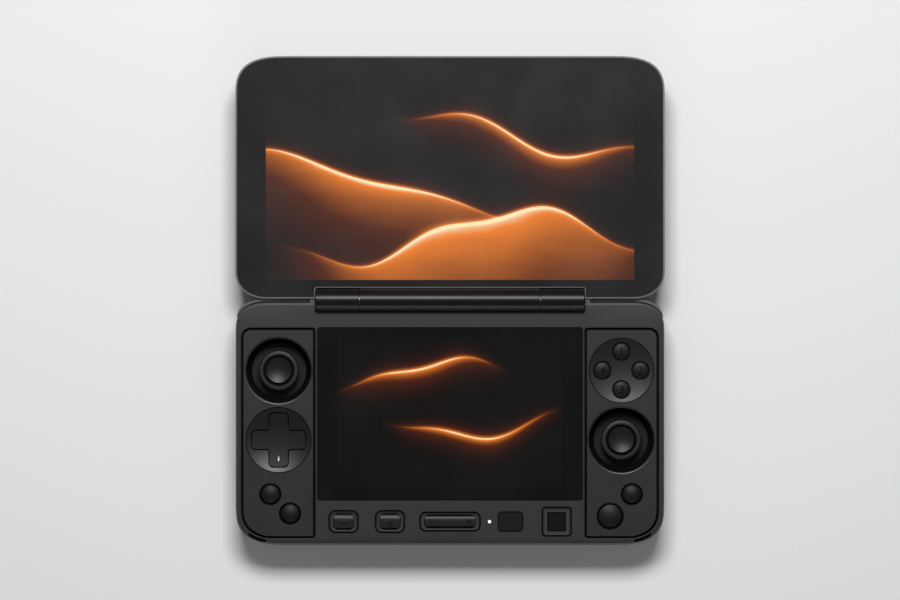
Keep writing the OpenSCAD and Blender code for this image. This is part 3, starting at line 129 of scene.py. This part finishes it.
class ConsoleSizes(bpy.types.PropertyGroup):
    """Sizes of the marks and of the grain in the finishes"""

    grain: length("Grain", "Size of the moulded grain on the plastic", 0.3)
    numeral: length("Numerals", "Height of the numerals on the face buttons", 3.3)
    mark_lift: length("Print height", "How far printed marks stand out", 0.02)
    mark_depth: length("Print depth", "How far marks reach into what carries them", 0.05)
    # The tick is a painted glint that glows on the direction pad's lower arm
    tick: length("Tick", "Length of the light guide on the direction pad", 2.4)
    dish: length("Dishes", "Radius inside the fine grooves round the panels' dishes", 13.4)
    moat: length("Moats", "Radius inside the moats in the stick caps", 5.25)
    well: length("Wells", "Radius of the wells round the sticks, outside their soft edges", 13.85)


class StudioSettings(bpy.types.PropertyGroup):
    """Floor, light and camera"""

    floor: tint("Floor", "Pale floor", 0.84, 0.84, 0.84)
    sky: amount("Sky", "Brightness of the even light from all round", 0.12, 5)
    lamp: amount("Soft box", "Power of the soft box behind the lid, in watts", 11.2, 1000)
    fill: amount("Fill", "Power of the low fill light in front, in watts", 3.4, 1000)
    field: length("Field", "Width that the camera sees at the faceplate", 378)
    far: length("Distance", "Height of the camera over the faceplate", 2000)


# ---- Materials ----


class Field:
    """A value that varies over a surface, as the socket that gives it, for use in expressions."""

    def __init__(self, finish, socket):
        self.finish = finish
        self.socket = socket

    def maths(self, operation, *values):
        return self.finish.add("ShaderNodeMath", {"operation": operation}, dict(enumerate(values)))

    def __add__(self, other):
        return self.maths("ADD", self, other)

    def __sub__(self, other):
        return self.maths("SUBTRACT", self, other)

    def __rsub__(self, other):
        return self.maths("SUBTRACT", other, self)

    def __mul__(self, other):
        return self.maths("MULTIPLY", self, other)

    def __truediv__(self, other):
        return self.maths("DIVIDE", self, other)

    def __pow__(self, other):
        return self.maths("POWER", self, other)

    def __abs__(self):
        return self.maths("ABSOLUTE", self)

    def __lt__(self, other):
        return self.maths("LESS_THAN", self, other)

    __radd__ = __add__
    __rmul__ = __mul__

    def sin(self):
        return self.maths("SINE", self)

    def exp(self):
        return self.maths("EXPONENT", self)

    def top(self, other):
        return self.maths("MAXIMUM", self, other)


class Finish:
    """One material: its principled shader, and the places on the object in millimetres."""

    def __init__(self, name, **values):
        self.material = bpy.data.materials.new(name)
        self.material.use_nodes = True
        self.tree = self.material.node_tree
        self.shader = self.tree.nodes["Principled BSDF"]
        for key, value in values.items():
            self.shader.inputs[key.replace("_", " ")].default_value = value
        place = self.add("ShaderNodeTexCoord", out="Object")
        self.place = self.add("ShaderNodeVectorMath", {"operation": "SCALE"}, {0: place, "Scale": 1 / MM})

    def add(self, kind, settings=None, values=None, out=0):
        """Adds a node: its settings first, such as a ramp's stops, then its sockets' values or links."""
        node = self.tree.nodes.new(kind)
        for key, value in (settings or {}).items():
            if key == "stops":
                stops = node.color_ramp.elements
                while len(stops) < len(value):
                    stops.new(1)
                for stop, (position, colour) in zip(stops, value):
                    stop.position, stop.color = position, (*colour, 1)
            else:
                setattr(node, key, value)
        for key, value in (values or {}).items():
            if isinstance(value, Field):
                self.tree.links.new(value.socket, node.inputs[key])
            else:
                node.inputs[key].default_value = value
        return Field(self, node.outputs[out])

    def feed(self, name, field):
        self.tree.links.new(field.socket, self.shader.inputs[name])

    def axes(self):
        split = self.add("ShaderNodeSeparateXYZ", None, {0: self.place}).socket.node
        return [Field(self, socket) for socket in split.outputs]

    def noise(self, size, detail=2.0, stretch=(1, 1, 1)):
        """Noise from 0 to 1 with features of a size in millimetres, squeezed along each axis by stretch."""
        place = self.add("ShaderNodeVectorMath", {"operation": "MULTIPLY"}, {0: self.place, 1: stretch})
        return self.add("ShaderNodeTexNoise", None, {"Vector": place, "Scale": 1 / size, "Detail": detail})

    def spread(self, field, low, high):
        """Runs smoothly from 0 where the field is low to 1 where it is high."""
        return self.add("ShaderNodeMapRange", {"interpolation_type": "SMOOTHSTEP"},
                        {"Value": field, "From Min": low, "From Max": high})

    def blend(self, share, first, second):
        mixed = {"Factor": share}
        for index, colour in ((6, first), (7, second)):
            mixed[index] = colour if isinstance(colour, Field) else (*colour, 1)
        return self.add("ShaderNodeMix", {"data_type": "RGBA"}, mixed, out=2)

    def away(self, spot):
        """How far off a spot's upright axis a place lies."""
        x, y, _ = self.axes()
        return ((x - spot.x) ** 2 + (y - spot.y) ** 2) ** 0.5

    def disc(self, spot, radius):
        """Runs from 1 inside a disc to 0 outside it."""
        return 1 - self.spread(self.away(spot), radius, radius + EDGE_BLUR)

    def gap(self, top, start, end, *clear):
        """Runs from 0 at one depth below a height to 1 at another. Each clear disc takes its share away."""
        depth = self.spread(self.axes()[2] * -1, start - top, end - top)
        for disc, share in clear:
            depth = depth * (1 - self.disc(*disc) * share)
        return depth

    def shade(self, colour, gap=None):
        """Feeds the base colour, with painted shade down in a gap: there it turns to a black without sheen.
        """
        if gap is not None:
            # Painted shade: down in the gap the colour turns black, and the metallic share takes its sheen
            # away
            dark = gap * PAINTED_GAP_SHADE
            colour = self.blend(dark, colour, BLACK)
            self.feed("Metallic", dark)
        self.feed("Base Color", colour)

    def relief(self, height):
        """Bends the surface's normal by a height in millimetres."""
        self.feed("Normal", self.add("ShaderNodeBump", None, {"Height": height, "Distance": MM}))


def toned(colour, factor):
    return [min(1, channel * factor) for channel in colour]


def moulded(name, colour, roughness, grain, depth=0.012, gap=None, slope=None, dish=None, well=None,
            **values):
    """Moulded plastic: a fine grain, broad soft differences of tone, and a little unevenness in its sheen.

    Gap holds what Finish.gap takes, for the painted shade down in a gap. Slope gives a height and the depths
    below it between which slopes get a painted highlight, a lighter colour. Dish gives the spot and radius of
    a dish darkened by painted shade, and well those of a well with a rolled edge."""
    look = Finish(name, **values)
    fine = look.noise(grain, 3)
    broad = look.noise(19, 2)
    shade = look.blend(fine * 0.55 + broad * 0.45, toned(colour, 0.78), toned(colour, 1.22))
    if slope:
        top, start, end = slope
        blur = 0.05
        # Painted highlight: slopes between the two depths get a lighter colour
        slope_highlight = look.gap(top, start, start + blur) * (1 - look.gap(top, end - blur, end))
        shade = look.blend(slope_highlight, shade, toned(colour, PAINTED_SLOPE_HIGHLIGHT))
    if dish:
        # Painted shade: the dish is darker
        shade = look.blend(look.disc(*dish), shade, toned(colour, PAINTED_DISH_SHADE))
    look.shade(shade, look.gap(*gap) if gap else None)
    look.feed("Roughness", roughness - 0.09 + fine * 0.1 + broad * 0.08)
    height = fine * depth
    if well:
        spot, radius = well
        height = height + look.spread(look.away(spot), radius, radius + ROLLED_WIDTH) * ROLLED_DROP
    look.relief(height)
    return look


def blasted_metal(name, colour):
    """Metal with an even, fine and matt grain."""
    look = Finish(name, Metallic=1.0)
    fine = look.noise(0.16, 2)
    broad = look.noise(23, 1)
    look.feed("Base Color", look.blend(broad * 0.6 + fine * 0.4, toned(colour, 0.85), toned(colour, 1.12)))
    look.feed("Roughness", 0.45 + fine * 0.12)
    look.relief(fine * 0.004)
    return look


def drawn_metal(name, colour, roughness=0.3, stretch=(0.06, 1, 1)):
    """Metal with fine lines that run along one axis."""
    look = Finish(name, Metallic=1.0)
    lines = look.noise(0.12, 2, stretch)
    broad = look.noise(6, 2)
    look.feed("Base Color", look.blend(lines * 0.6 + broad * 0.4, toned(colour, 0.78), toned(colour, 1.15)))
    look.feed("Roughness", roughness - 0.08 + lines * 0.2)
    look.relief(lines * 0.004)
    return look


def rubber(name, colour, grain, depth=0.02):
    """Matt rubber with a little dust in its grain."""
    look = Finish(name, Specular_IOR_Level=0.35)
    fine = look.noise(grain, 2)
    dust = look.spread(look.noise(3.2, 4), 0.5, 0.85)
    look.feed("Base Color", look.blend(dust * 0.5 + fine * 0.3, toned(colour, 0.85), toned(colour, 1.5)))
    look.feed("Roughness", 0.62 + fine * 0.2)
    look.relief(fine * depth)
    return look


def circuit_board(name):
    """Green solder mask over copper tracks, with bare pads."""
    look = Finish(name, Coat_Roughness=0.2)
    tracks = look.spread(abs(look.noise(2.2, 1, (1, 1, 0.2)) - 0.5), 0.0, 0.035)
    cells = look.add("ShaderNodeTexVoronoi", {"distance": "CHEBYCHEV"}, {"Vector": look.place, "Scale": 0.42})
    pads = cells < 0.13
    mask = look.blend(tracks, (0.02, 0.11, 0.05), (0.008, 0.05, 0.026))
    look.feed("Base Color", look.blend(pads, mask, (0.55, 0.4, 0.2)))
    look.feed("Metallic", pads)
    look.feed("Roughness", 0.42 - pads * 0.12)
    look.relief(tracks * 0.03)
    return look


def black_glass(name, colour, roughness):
    """Cover glass over black print, with the faintest film of handling."""
    look = Finish(name, Specular_IOR_Level=0.22)
    film = look.spread(look.noise(27, 3), 0.35, 0.75)
    look.feed("Base Color", look.blend(film, colour, toned(colour, 1.35)))
    look.feed("Roughness", roughness + film * 0.03)
    return look


class Ridge:
    """One crest of a picture, in millimetres.

    Base is its middle height, and each wave is a swing, a pitch and a starting angle. Fade is how far its
    glow reaches below it, and glow how strong that is. It is lit within reach of the place light, from side
    to side."""

    def __init__(self, base, waves, fade, glow, light, reach):
        self.base = base
        self.waves = waves
        self.fade = fade
        self.glow = glow
        self.light = light
        self.reach = reach

    def below(self, x, y):
        """How far a place lies below the crest."""
        height = self.base
        for swing, pitch, start in self.waves:
            height = (x * (2 * math.pi / pitch) + start).sin() * swing + height
        return height - y


def paint(look, ridges, window, colours):
    """Lights a picture of glowing ridges inside a window of the glass."""
    x, y, _ = look.axes()
    x0, x1, y0, y1 = window
    glow = None
    for ridge in ridges:
        depth = ridge.below(x, y)
        under = look.spread(depth, -0.12, 0.12)
        lit = look.spread(abs(x - ridge.light) * -1, -ridge.reach, -ridge.reach * 0.12)
        # A thin bright line on the crest, a body of light that fades below it, and a faint halo round both
        line = (abs(depth) * -1.4).exp() * 0.75
        body = (depth.top(0) / -ridge.fade).exp() * under * ridge.glow
        halo = (abs(depth) * -0.4).exp() * 0.14
        layer = (line + body + halo) * lit
        glow = layer if glow is None else (glow * (1 - under * lit)) + layer
    streaks = look.noise(9, 3, (0.35, 1, 1))
    glow = glow * (0.82 + streaks * 0.36)
    inside = (look.spread(x, x0, x0 + 0.1) * look.spread(x * -1, -x1, 0.1 - x1)
              * look.spread(y, y0, y0 + 0.1) * look.spread(y * -1, -y1, 0.1 - y1))
    night = (0.001, 0.001, 0.001)
    stops = [(0, night), (0.16, toned(colours.ember, 0.6)), (0.4, toned(colours.amber, 0.5)),
             (0.66, colours.amber), (1, colours.crest)]
    shades = look.add("ShaderNodeValToRGB", {"stops": stops}, {0: glow})
    look.feed("Emission Color", look.blend(inside, BLACK, shades))
    look.shader.inputs["Emission Strength"].default_value = 1.0


# ---- Making pieces ----


def dress(look, *names):
    """Gives CAD nodes a finish."""
    for name in names:
        for slot in NODES[name].material_slots:
            slot.material = look.material


def smoothing_nodes(angle=math.radians(32)):
    """Nodes that weld a shell's facets and shade them as one curve, up to a sharp edge."""
    tree = bpy.data.node_groups.new("smooth_shell", "GeometryNodeTree")
    for way in ("INPUT", "OUTPUT"):
        tree.interface.new_socket("Geometry", in_out=way, socket_type="NodeSocketGeometry")
    kinds = ("NodeGroupInput", "GeometryNodeMergeByDistance", "GeometryNodeRemoveAttribute",
             "GeometryNodeSetShadeSmooth", "GeometryNodeSetShadeSmooth", "NodeGroupOutput")
    chain = [tree.nodes.new(kind) for kind in kinds]
    for left, right in zip(chain, chain[1:]):
        tree.links.new(left.outputs[0], right.inputs[0])
    chain[1].inputs["Distance"].default_value = WELD
    chain[2].inputs["Name"].default_value = "custom_normal"
    chain[3].domain, chain[4].domain = "FACE", "EDGE"
    chain[4].inputs["Shade Smooth"].default_value = False
    sharp = tree.nodes.new("ShaderNodeMath")
    sharp.operation = "GREATER_THAN"
    sharp.inputs[1].default_value = angle
    tree.links.new(tree.nodes.new("GeometryNodeInputMeshEdgeAngle").outputs[0], sharp.inputs[0])
    tree.links.new(sharp.outputs[0], chain[4].inputs["Selection"])
    return tree


def smooth(*names):
    """Shades CAD nodes as smooth shells."""
    tree = bpy.data.node_groups.get("smooth_shell") or smoothing_nodes()
    for name in names:
        NODES[name].modifiers.new("smooth_shell", "NODES").node_group = tree


def piece(name, mesh, look, body):
    """Makes a mesh a piece of its own, which rides on a body."""
    obj = bpy.data.objects.new(name, mesh)
    bpy.context.scene.collection.objects.link(obj)
    mesh.materials.clear()
    mesh.materials.append(look.material)
    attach(obj, body)
    return obj


def print_on(name, flat, node, centre, look, sizes):
    """Turns a flat bmesh about its own middle into a thin solid that follows the top of a node.

    It is cut into small cells first, so that it bends with a dome."""
    for axis in (0, 1):
        along = [vertex.co[axis] for vertex in flat.verts]
        for cut in range(math.ceil(min(along) / PRINT_CELL), math.ceil(max(along) / PRINT_CELL)):
            place, facing = Vector((0, 0, 0)), Vector((0, 0, 0))
            place[axis], facing[axis] = cut * PRINT_CELL, 1
            bmesh.ops.bisect_plane(flat, geom=flat.verts[:] + flat.edges[:] + flat.faces[:], dist=WELD,
                                   plane_co=place, plane_no=facing)
    grown = bmesh.ops.extrude_face_region(flat, geom=flat.faces[:])
    raised = {v for v in grown["geom"] if isinstance(v, bmesh.types.BMVert)}
    carrier = NODES[node]
    for vertex in flat.verts:
        x, y = centre[0] + vertex.co.x, centre[1] + vertex.co.y
        hit, spot, _, _ = carrier.ray_cast(Vector((x, y, 1)), Vector((0, 0, -1)))
        if not hit:
            raise RuntimeError(f"{name} reaches past {node}")
        vertex.co = (x, y, spot.z + (sizes.mark_lift if vertex in raised else -sizes.mark_depth))
    bmesh.ops.recalc_face_normals(flat, faces=flat.faces[:])
    mesh = bpy.data.meshes.new(name)
    flat.to_mesh(mesh)
    flat.free()
    return piece(name, mesh, look, carrier["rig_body"])


def bars(*rows):
    """Flat bars with round ends, each given by its middle, length, width and angle in degrees."""
    flat = bmesh.new()
    for x, y, long, wide, angle in rows:
        turn = math.radians(angle)
        ring = []
        for end in (1, -1):
            for step in range(BAR_END_STEPS + 1):
                around = math.pi * (step / BAR_END_STEPS - 0.5)
                u = end * ((long - wide) / 2 + wide / 2 * math.cos(around))
                v = end * wide / 2 * math.sin(around)
                ring.append(flat.verts.new((x + u * math.cos(turn) - v * math.sin(turn),
                                            y + u * math.sin(turn) + v * math.cos(turn), 0)))
        flat.faces.new(ring)
    return flat


def numeral(digit, height):
    """A plain numeral as a flat bmesh about its own middle."""
    curve = bpy.data.curves.new("numeral", "FONT")
    curve.body = digit
    curve.size = height / NUMERAL_SHARE
    curve.resolution_u = 6
    scratch = bpy.data.objects.new("numeral", curve)
    bpy.context.scene.collection.objects.link(scratch)
    shape = scratch.evaluated_get(bpy.context.evaluated_depsgraph_get()).to_mesh()
    flat = bmesh.new()
    flat.from_mesh(shape)
    bpy.data.objects.remove(scratch)
    bmesh.ops.remove_doubles(flat, verts=flat.verts[:], dist=1e-6)
    xs, ys = [v.co.x for v in flat.verts], [v.co.y for v in flat.verts]
    middle = Vector(((min(xs) + max(xs)) / 2, (min(ys) + max(ys)) / 2, 0))
    bmesh.ops.translate(flat, vec=-middle, verts=flat.verts[:])
    return flat


def middle_of(*nodes):
    """The middle of the box round some nodes."""
    lows, highs = zip(*(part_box(node) for node in nodes))
    return Vector([(min(low) + max(high)) / 2 for low, high in zip(zip(*lows), zip(*highs))])


# ---- Operators ----


class DressShells(bpy.types.Operator):
    """Moulded plastic on the shells, the faceplate and the control panels"""

    bl_idname = "console.shells"
    bl_label = "Shells and panels"

    def execute(self, context):
        colours, sizes = context.scene.console_colours, context.scene.console_sizes
        grain = sizes.grain / MM
        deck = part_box("top_cover")[1].z / MM
        # Painted shade blackens the faceplate's walls from 0.85 to 0.95 mm below the deck, and a painted
        # highlight lightens its slopes from 0.06 to 0.82 mm below it
        dress(moulded("faceplate_plastic", colours.faceplate, 0.52, grain, gap=(deck, 0.85, 0.95),
                      slope=(deck, 0.06, 0.82)), "top_cover")
        for side, spot in (("left", middle_of("dpad_cross")), ("right", middle_of(*FACE_BUTTONS))):
            well = (middle_of(f"{side}_stick_cap") / MM, sizes.well / MM)
            dish = (spot / MM, sizes.dish / MM)
            # Painted shade blackens the panels' gaps from 0.3 to 0.45 mm below the deck, though not in the
            # dishes and only half in the wells, and darkens the dishes
            gap = (deck, 0.3, 0.45, (dish, 1), (well, 0.5))
            dress(moulded(f"{side}_panel_plastic", colours.panel, 0.42, grain, gap=gap, dish=dish, well=well),
                  f"{side}_control_panel")
        dress(moulded("bottom_plastic", colours.shell, 0.6, grain * 1.3, 0.03), "bottom_shell")
        dress(moulded("lid_plastic", colours.shell, 0.5, grain * 1.1, 0.018), "lid_back_cover")
        smooth("top_cover", "bottom_shell", "lid_back_cover", "left_control_panel", "right_control_panel")
        return {"FINISHED"}


class DressScreens(bpy.types.Operator):
    """Cover glasses with their lit pictures, and the displays under them"""

    bl_idname = "console.screens"
    bl_label = "Screens"

    def execute(self, context):
        colours = context.scene.console_colours
        # Painted reflection: the upper glass's black print is 2.5 times lighter than the lower glass's
        upper = black_glass("upper_glass", toned(colours.glass, 2.5), 0.27)
        paint(upper, [
            Ridge(70, [(9, 160, 2.2), (3, 61, 0.4)], fade=5, glow=0.5, light=34, reach=62),
            Ridge(48, [(13, 190, 3.9), (3.5, 83, 1.7)], fade=13, glow=0.66, light=-36, reach=76),
            Ridge(27, [(11, 150, 0.3), (2.5, 52, 2.6)], fade=26, glow=0.78, light=12, reach=90),
        ], UPPER_PICTURE, colours)
        dress(upper, "upper_screen_glass")
        lower = black_glass("lower_glass", colours.glass, 0.16)
        paint(lower, [
            Ridge(-31, [(6, 110, 1.4), (1.5, 40, 0.2)], fade=3.2, glow=0.5, light=-12, reach=38),
            Ridge(-50, [(7, 128, 4.4), (2, 47, 2.1)], fade=2.6, glow=0.4, light=10, reach=40),
        ], LOWER_PICTURE, colours)
        dress(lower, "lower_screen_glass")
        dress(moulded("display_film", (0.03, 0.03, 0.035), 0.3, 0.5, 0.002), "upper_display_panel",
              "lower_display_panel")
        return {"FINISHED"}


class DressHinge(bpy.types.Operator):
    """Rim, barrel, knuckles, sleeves and shafts of the hinge, and the flat cable through it"""

    bl_idname = "console.hinge"
    bl_label = "Hinge and rim"

    def execute(self, context):
        colours = context.scene.console_colours
        dress(blasted_metal("rim_metal", colours.rim), "lid_rim")
        dress(moulded("barrel_plastic", colours.barrel, 0.33, 0.4, 0.004, Specular_IOR_Level=0.22),
              "hinge_barrel", "hinge_knuckles")
        dress(drawn_metal("hinge_steel", (0.5, 0.5, 0.51)), "base_hinge_leaves", "lid_hinge_leaves",
              "hinge_shafts")
        dress(moulded("cable_film", (0.42, 0.2, 0.05), 0.35, 0.8, 0.01), "display_cable")
        smooth("lid_rim")
        return {"FINISHED"}


class DressSticks(bpy.types.Operator):
    """Rubbery caps, glossy domes and steel gimbals of the two sticks"""

    bl_idname = "console.sticks"
    bl_label = "Sticks"

    def execute(self, context):
        colours, sizes = context.scene.console_colours, context.scene.console_sizes
        for side in ("left", "right"):
            cap = f"{side}_stick_cap"
            inside = (middle_of(cap) / MM, sizes.moat / MM)
            # Painted shade blackens each cap from 0.3 to 0.6 mm below its top, outside its inner disc, and
            # darkens the inner disc
            gap = (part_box(cap)[1].z / MM, 0.3, 0.6, (inside, 1))
            dress(moulded(f"{side}_cap_rubber", colours.stick, 0.43, 0.22, 0.008, gap, dish=inside,
                          Specular_IOR_Level=0.33), cap)
        dress(moulded("dome_plastic", toned(colours.key, 0.5), 0.5, 0.5, 0.003, Specular_IOR_Level=0.2),
              "left_stick_shaft", "right_stick_shaft")
        dress(drawn_metal("gimbal_steel", (0.45, 0.45, 0.46)), "left_stick_yoke", "right_stick_yoke",
              "dpad_pivot")
        return {"FINISHED"}


class DressDirectionPad(bpy.types.Operator):
    """The direction pad and a glowing tick on its lower arm, a painted glint"""

    bl_idname = "console.direction_pad"
    bl_label = "Direction pad"

    def execute(self, context):
        colours, sizes = context.scene.console_colours, context.scene.console_sizes
        dress(moulded("pad_plastic", colours.key, 0.36, 0.3, 0.006, Specular_IOR_Level=0.45), "dpad_cross")
        # Painted glint: the tick glows, brighter towards the arm's end, though no lamp lights it
        glint = Finish("tick_painted_glint", Emission_Strength=1.0, Roughness=0.3)
        _, y, _ = glint.axes()
        pad = middle_of("dpad_cross")
        along = glint.spread(y * -1, -pad.y / MM + 6.4, -pad.y / MM + 8.6)
        glint.feed("Emission Color", glint.blend(along, (0.02, 0.02, 0.02), (0.42, 0.42, 0.42)))
        glint.feed("Base Color", glint.blend(along, (0.05, 0.05, 0.05), (0.7, 0.7, 0.7)))
        tick = bars((0, -7.6 * MM, sizes.tick, 0.5 * MM, 90))
        print_on("pad_tick", tick, "dpad_cross", pad, glint, sizes)
        return {"FINISHED"}


class DressButtons(bpy.types.Operator):
    """Face buttons with their numerals, and the small round buttons"""

    bl_idname = "console.buttons"
    bl_label = "Buttons"

    def execute(self, context):
        colours, sizes = context.scene.console_colours, context.scene.console_sizes
        look = moulded("button_plastic", colours.key, 0.5, 0.3, 0.004, Specular_IOR_Level=0.25)
        ink = moulded("button_print", colours.mark, 0.6, 0.2, 0.002, Specular_IOR_Level=0.06)
        for digit, node in zip("1234", FACE_BUTTONS):
            dress(look, node)
            print_on(f"numeral_{digit}", numeral(digit, sizes.numeral), node, middle_of(node), ink, sizes)
        for side in ("left", "right"):
            dress(look, f"{side}_upper_button", f"{side}_lower_button")
        return {"FINISHED"}


class DressFrontRow(bpy.types.Operator):
    """Front keys, rocker, pointer key, fingerprint sensor and status light"""

    bl_idname = "console.front_row"
    bl_label = "Front row"

    def execute(self, context):
        colours, sizes = context.scene.console_colours, context.scene.console_sizes
        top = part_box("left_row_key")[1].z / MM
        # Painted shade blackens the keys' sides from 0.55 to 0.8 mm below their top
        look = moulded("front_key_plastic", toned(colours.key, 2.3), 0.45, 0.3, 0.004, (top, 0.55, 0.8),
                       Specular_IOR_Level=0.35)
        ink = moulded("front_key_print", colours.mark, 0.45, 0.2, 0.002, Specular_IOR_Level=0.1)
        dress(look, "left_row_key", "right_row_key", "volume_rocker")
        for name, node, rows in (
            ("mark_bar", "left_row_key", [(0, -0.9, 2.4, 0.4, 0)]),
            ("mark_lines", "right_row_key", [(0, -0.2, 2.4, 0.35, 0), (0, -1.1, 2.4, 0.35, 0),
                                             (0, -2.0, 2.4, 0.35, 0)]),
            ("mark_minus", "volume_rocker", [(-8, 0, 1.8, 0.4, 0)]),
            ("mark_plus_along", "volume_rocker", [(8, 0, 1.8, 0.4, 0)]),
            ("mark_plus_across", "volume_rocker", [(8, 0.7, 0.7, 0.4, 90), (8, -0.7, 0.7, 0.4, 90)]),
        ):
            strokes = [(x * MM, y * MM, long * MM, wide * MM, turn) for x, y, long, wide, turn in rows]
            print_on(name, bars(*strokes), node, middle_of(node), ink, sizes)
        dress(moulded("pointer_window", (0.0065, 0.0065, 0.0067), 0.26, 0.5, 0.001, Specular_IOR_Level=0.2),
              "pointer_key")
        sensor = Finish("sensor_glass", Specular_IOR_Level=0.32)
        cells = sensor.noise(0.5, 1)
        low, high = (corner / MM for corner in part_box("fingerprint_sensor"))
        x, y, _ = sensor.axes()
        centre, half = (low + high) / 2, (high - low) / 2
        edge = (abs(x - centre.x) - half.x).top(abs(y - centre.y) - half.y)
        middle = sensor.blend(cells, (0.006, 0.006, 0.0063), (0.0085, 0.0085, 0.0089))
        sensor.feed("Base Color", sensor.blend(sensor.spread(edge, -0.4, -0.3), middle, BLACK))
        sensor.feed("Roughness", 0.3 + cells * 0.04)
        dress(sensor, "fingerprint_sensor")
        led = Finish("status_light", Emission_Strength=1.0, Roughness=0.25)
        core = led.spread(led.away(middle_of("status_led") / MM) * -1, -0.7, -0.4)
        led.feed("Emission Color", led.blend(core, (0.2, 0.2, 0.21), (0.75, 0.75, 0.75)))
        led.feed("Base Color", led.blend(core, (0.6, 0.6, 0.62), (0.9, 0.9, 0.9)))
        dress(led, "status_led")
        return {"FINISHED"}


class DressShoulderKeys(bpy.types.Operator):
    """Bumpers, triggers and the power button"""

    bl_idname = "console.shoulder_keys"
    bl_label = "Shoulder keys"

    def execute(self, context):
        colours = context.scene.console_colours
        look = moulded("shoulder_plastic", colours.shoulder, 0.36, 0.35, 0.006)
        dress(look, "left_bumper", "right_bumper", "left_trigger", "right_trigger")
        dress(blasted_metal("power_metal", toned(colours.rim, 0.7)), "power_button")
        return {"FINISHED"}


class DressFittings(bpy.types.Operator):
    """Feet, screws, ports and everything inside the base"""

    bl_idname = "console.fittings"
    bl_label = "Fittings and inside"

    def execute(self, context):
        dress(rubber("foot_rubber", (0.014, 0.014, 0.015), 0.4, 0.04), "rubber_feet")
        dress(rubber("membrane_rubber", (0.06, 0.06, 0.065), 0.4), "button_membranes")
        dress(drawn_metal("screw_steel", (0.36, 0.36, 0.37), 0.32, (1, 1, 1)), "case_screws")
        dress(drawn_metal("port_steel", (0.5, 0.5, 0.52)), "charging_ports", "card_reader",
              "vibration_motors")
        dress(drawn_metal("copper", (0.74, 0.36, 0.2), 0.28), "heat_pipe", "heat_sink")
        dress(circuit_board("circuit_board"), "main_board", "button_boards")
        dark = moulded("inner_plastic", (0.018, 0.018, 0.019), 0.45, 0.4, 0.01)
        dress(dark, "fan_housing", "fan_rotor", "speakers", "headphone_jack", "stick_housings", "board_chips")
        dress(moulded("battery_wrap", (0.11, 0.11, 0.12), 0.4, 1.2, 0.02), "battery_pack")
        return {"FINISHED"}


class BuildStudio(bpy.types.Operator):
    """Pale floor, soft light and the camera straight above"""

    bl_idname = "console.studio"
    bl_label = "Studio"

    def execute(self, context):
        studio = context.scene.console_studio
        floor = bmesh.new()
        half_width = 6
        bmesh.ops.create_grid(floor, x_segments=1, y_segments=1, size=half_width)
        mesh = bpy.data.meshes.new("floor")
        floor.to_mesh(mesh)
        floor.free()
        ground = bpy.data.objects.new("floor", mesh)
        context.scene.collection.objects.link(ground)
        paper = Finish("floor_paper", Roughness=0.9, Specular_IOR_Level=0.2)
        paper.feed("Base Color", paper.blend(paper.noise(1.6, 4), toned(studio.floor, 0.985),
                                             toned(studio.floor, 1.015)))
        mesh.materials.append(paper.material)

        world = bpy.data.worlds.new("studio_sky")
        world.use_nodes = True
        sky = world.node_tree.nodes["Background"]
        sky.inputs["Color"].default_value = (1, 1, 1, 1)
        sky.inputs["Strength"].default_value = studio.sky
        context.scene.world = world

        # Widths and distances in metres, and tilts from straight above in degrees
        for name, power, wide, tilt, away in (("soft_box", studio.lamp, 0.5, 30, 1.1),
                                              ("fill_box", studio.fill, 0.7, -70, 1.4)):
            data = bpy.data.lights.new(name, "AREA")
            data.shape, data.size, data.size_y, data.energy = "RECTANGLE", wide, wide * 0.6, power
            lamp = bpy.data.objects.new(name, data)
            turn = math.radians(tilt)
            lamp.location = (0, away * math.sin(turn), away * math.cos(turn))
            lamp.rotation_euler = (-turn, 0, 0)
            context.scene.collection.objects.link(lamp)

        data = bpy.data.cameras.new("camera")
        data.sensor_width = 36
        data.lens = data.sensor_width * studio.far / studio.field
        data.clip_start, data.clip_end = 0.05, 50
        camera = bpy.data.objects.new("camera", data)
        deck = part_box("top_cover")[1].z
        camera.location = (0, 0.2 * MM, deck + studio.far)
        context.scene.collection.objects.link(camera)
        context.scene.camera = camera
        context.scene.view_settings.view_transform = "Standard"
        return {"FINISHED"}


STEPS = (BuildStudio, DressShells, DressScreens, DressHinge, DressSticks, DressDirectionPad, DressButtons,
         DressFrontRow, DressShoulderKeys, DressFittings)


class ConsolePanel(bpy.types.Panel):
    """Lists the steps and their settings"""

    bl_idname = "CONSOLE_PT_steps"
    bl_label = "Handheld console"
    bl_space_type = "VIEW_3D"
    bl_region_type = "UI"
    bl_category = "Console"

    def draw(self, context):
        scene = context.scene
        for step in STEPS:
            self.layout.operator(step.bl_idname)
        for group in (scene.console_colours, scene.console_sizes, scene.console_studio):
            box = self.layout.box()
            for name in group.__annotations__:
                box.prop(group, name)


GROUPS = {"console_colours": ConsoleColours, "console_sizes": ConsoleSizes, "console_studio": StudioSettings}


def register():
    for item in (*GROUPS.values(), *STEPS, ConsolePanel):
        bpy.utils.register_class(item)
    for name, group in GROUPS.items():
        setattr(bpy.types.Scene, name, PointerProperty(type=group))


def unregister():
    for name in GROUPS:
        delattr(bpy.types.Scene, name)
    for item in (ConsolePanel, *reversed(STEPS), *reversed(list(GROUPS.values()))):
        bpy.utils.unregister_class(item)


def main():
    register()
    for step in STEPS:
        area, name = step.bl_idname.split(".")
        getattr(getattr(bpy.ops, area), name)()


if __name__ == "__main__":
    main()
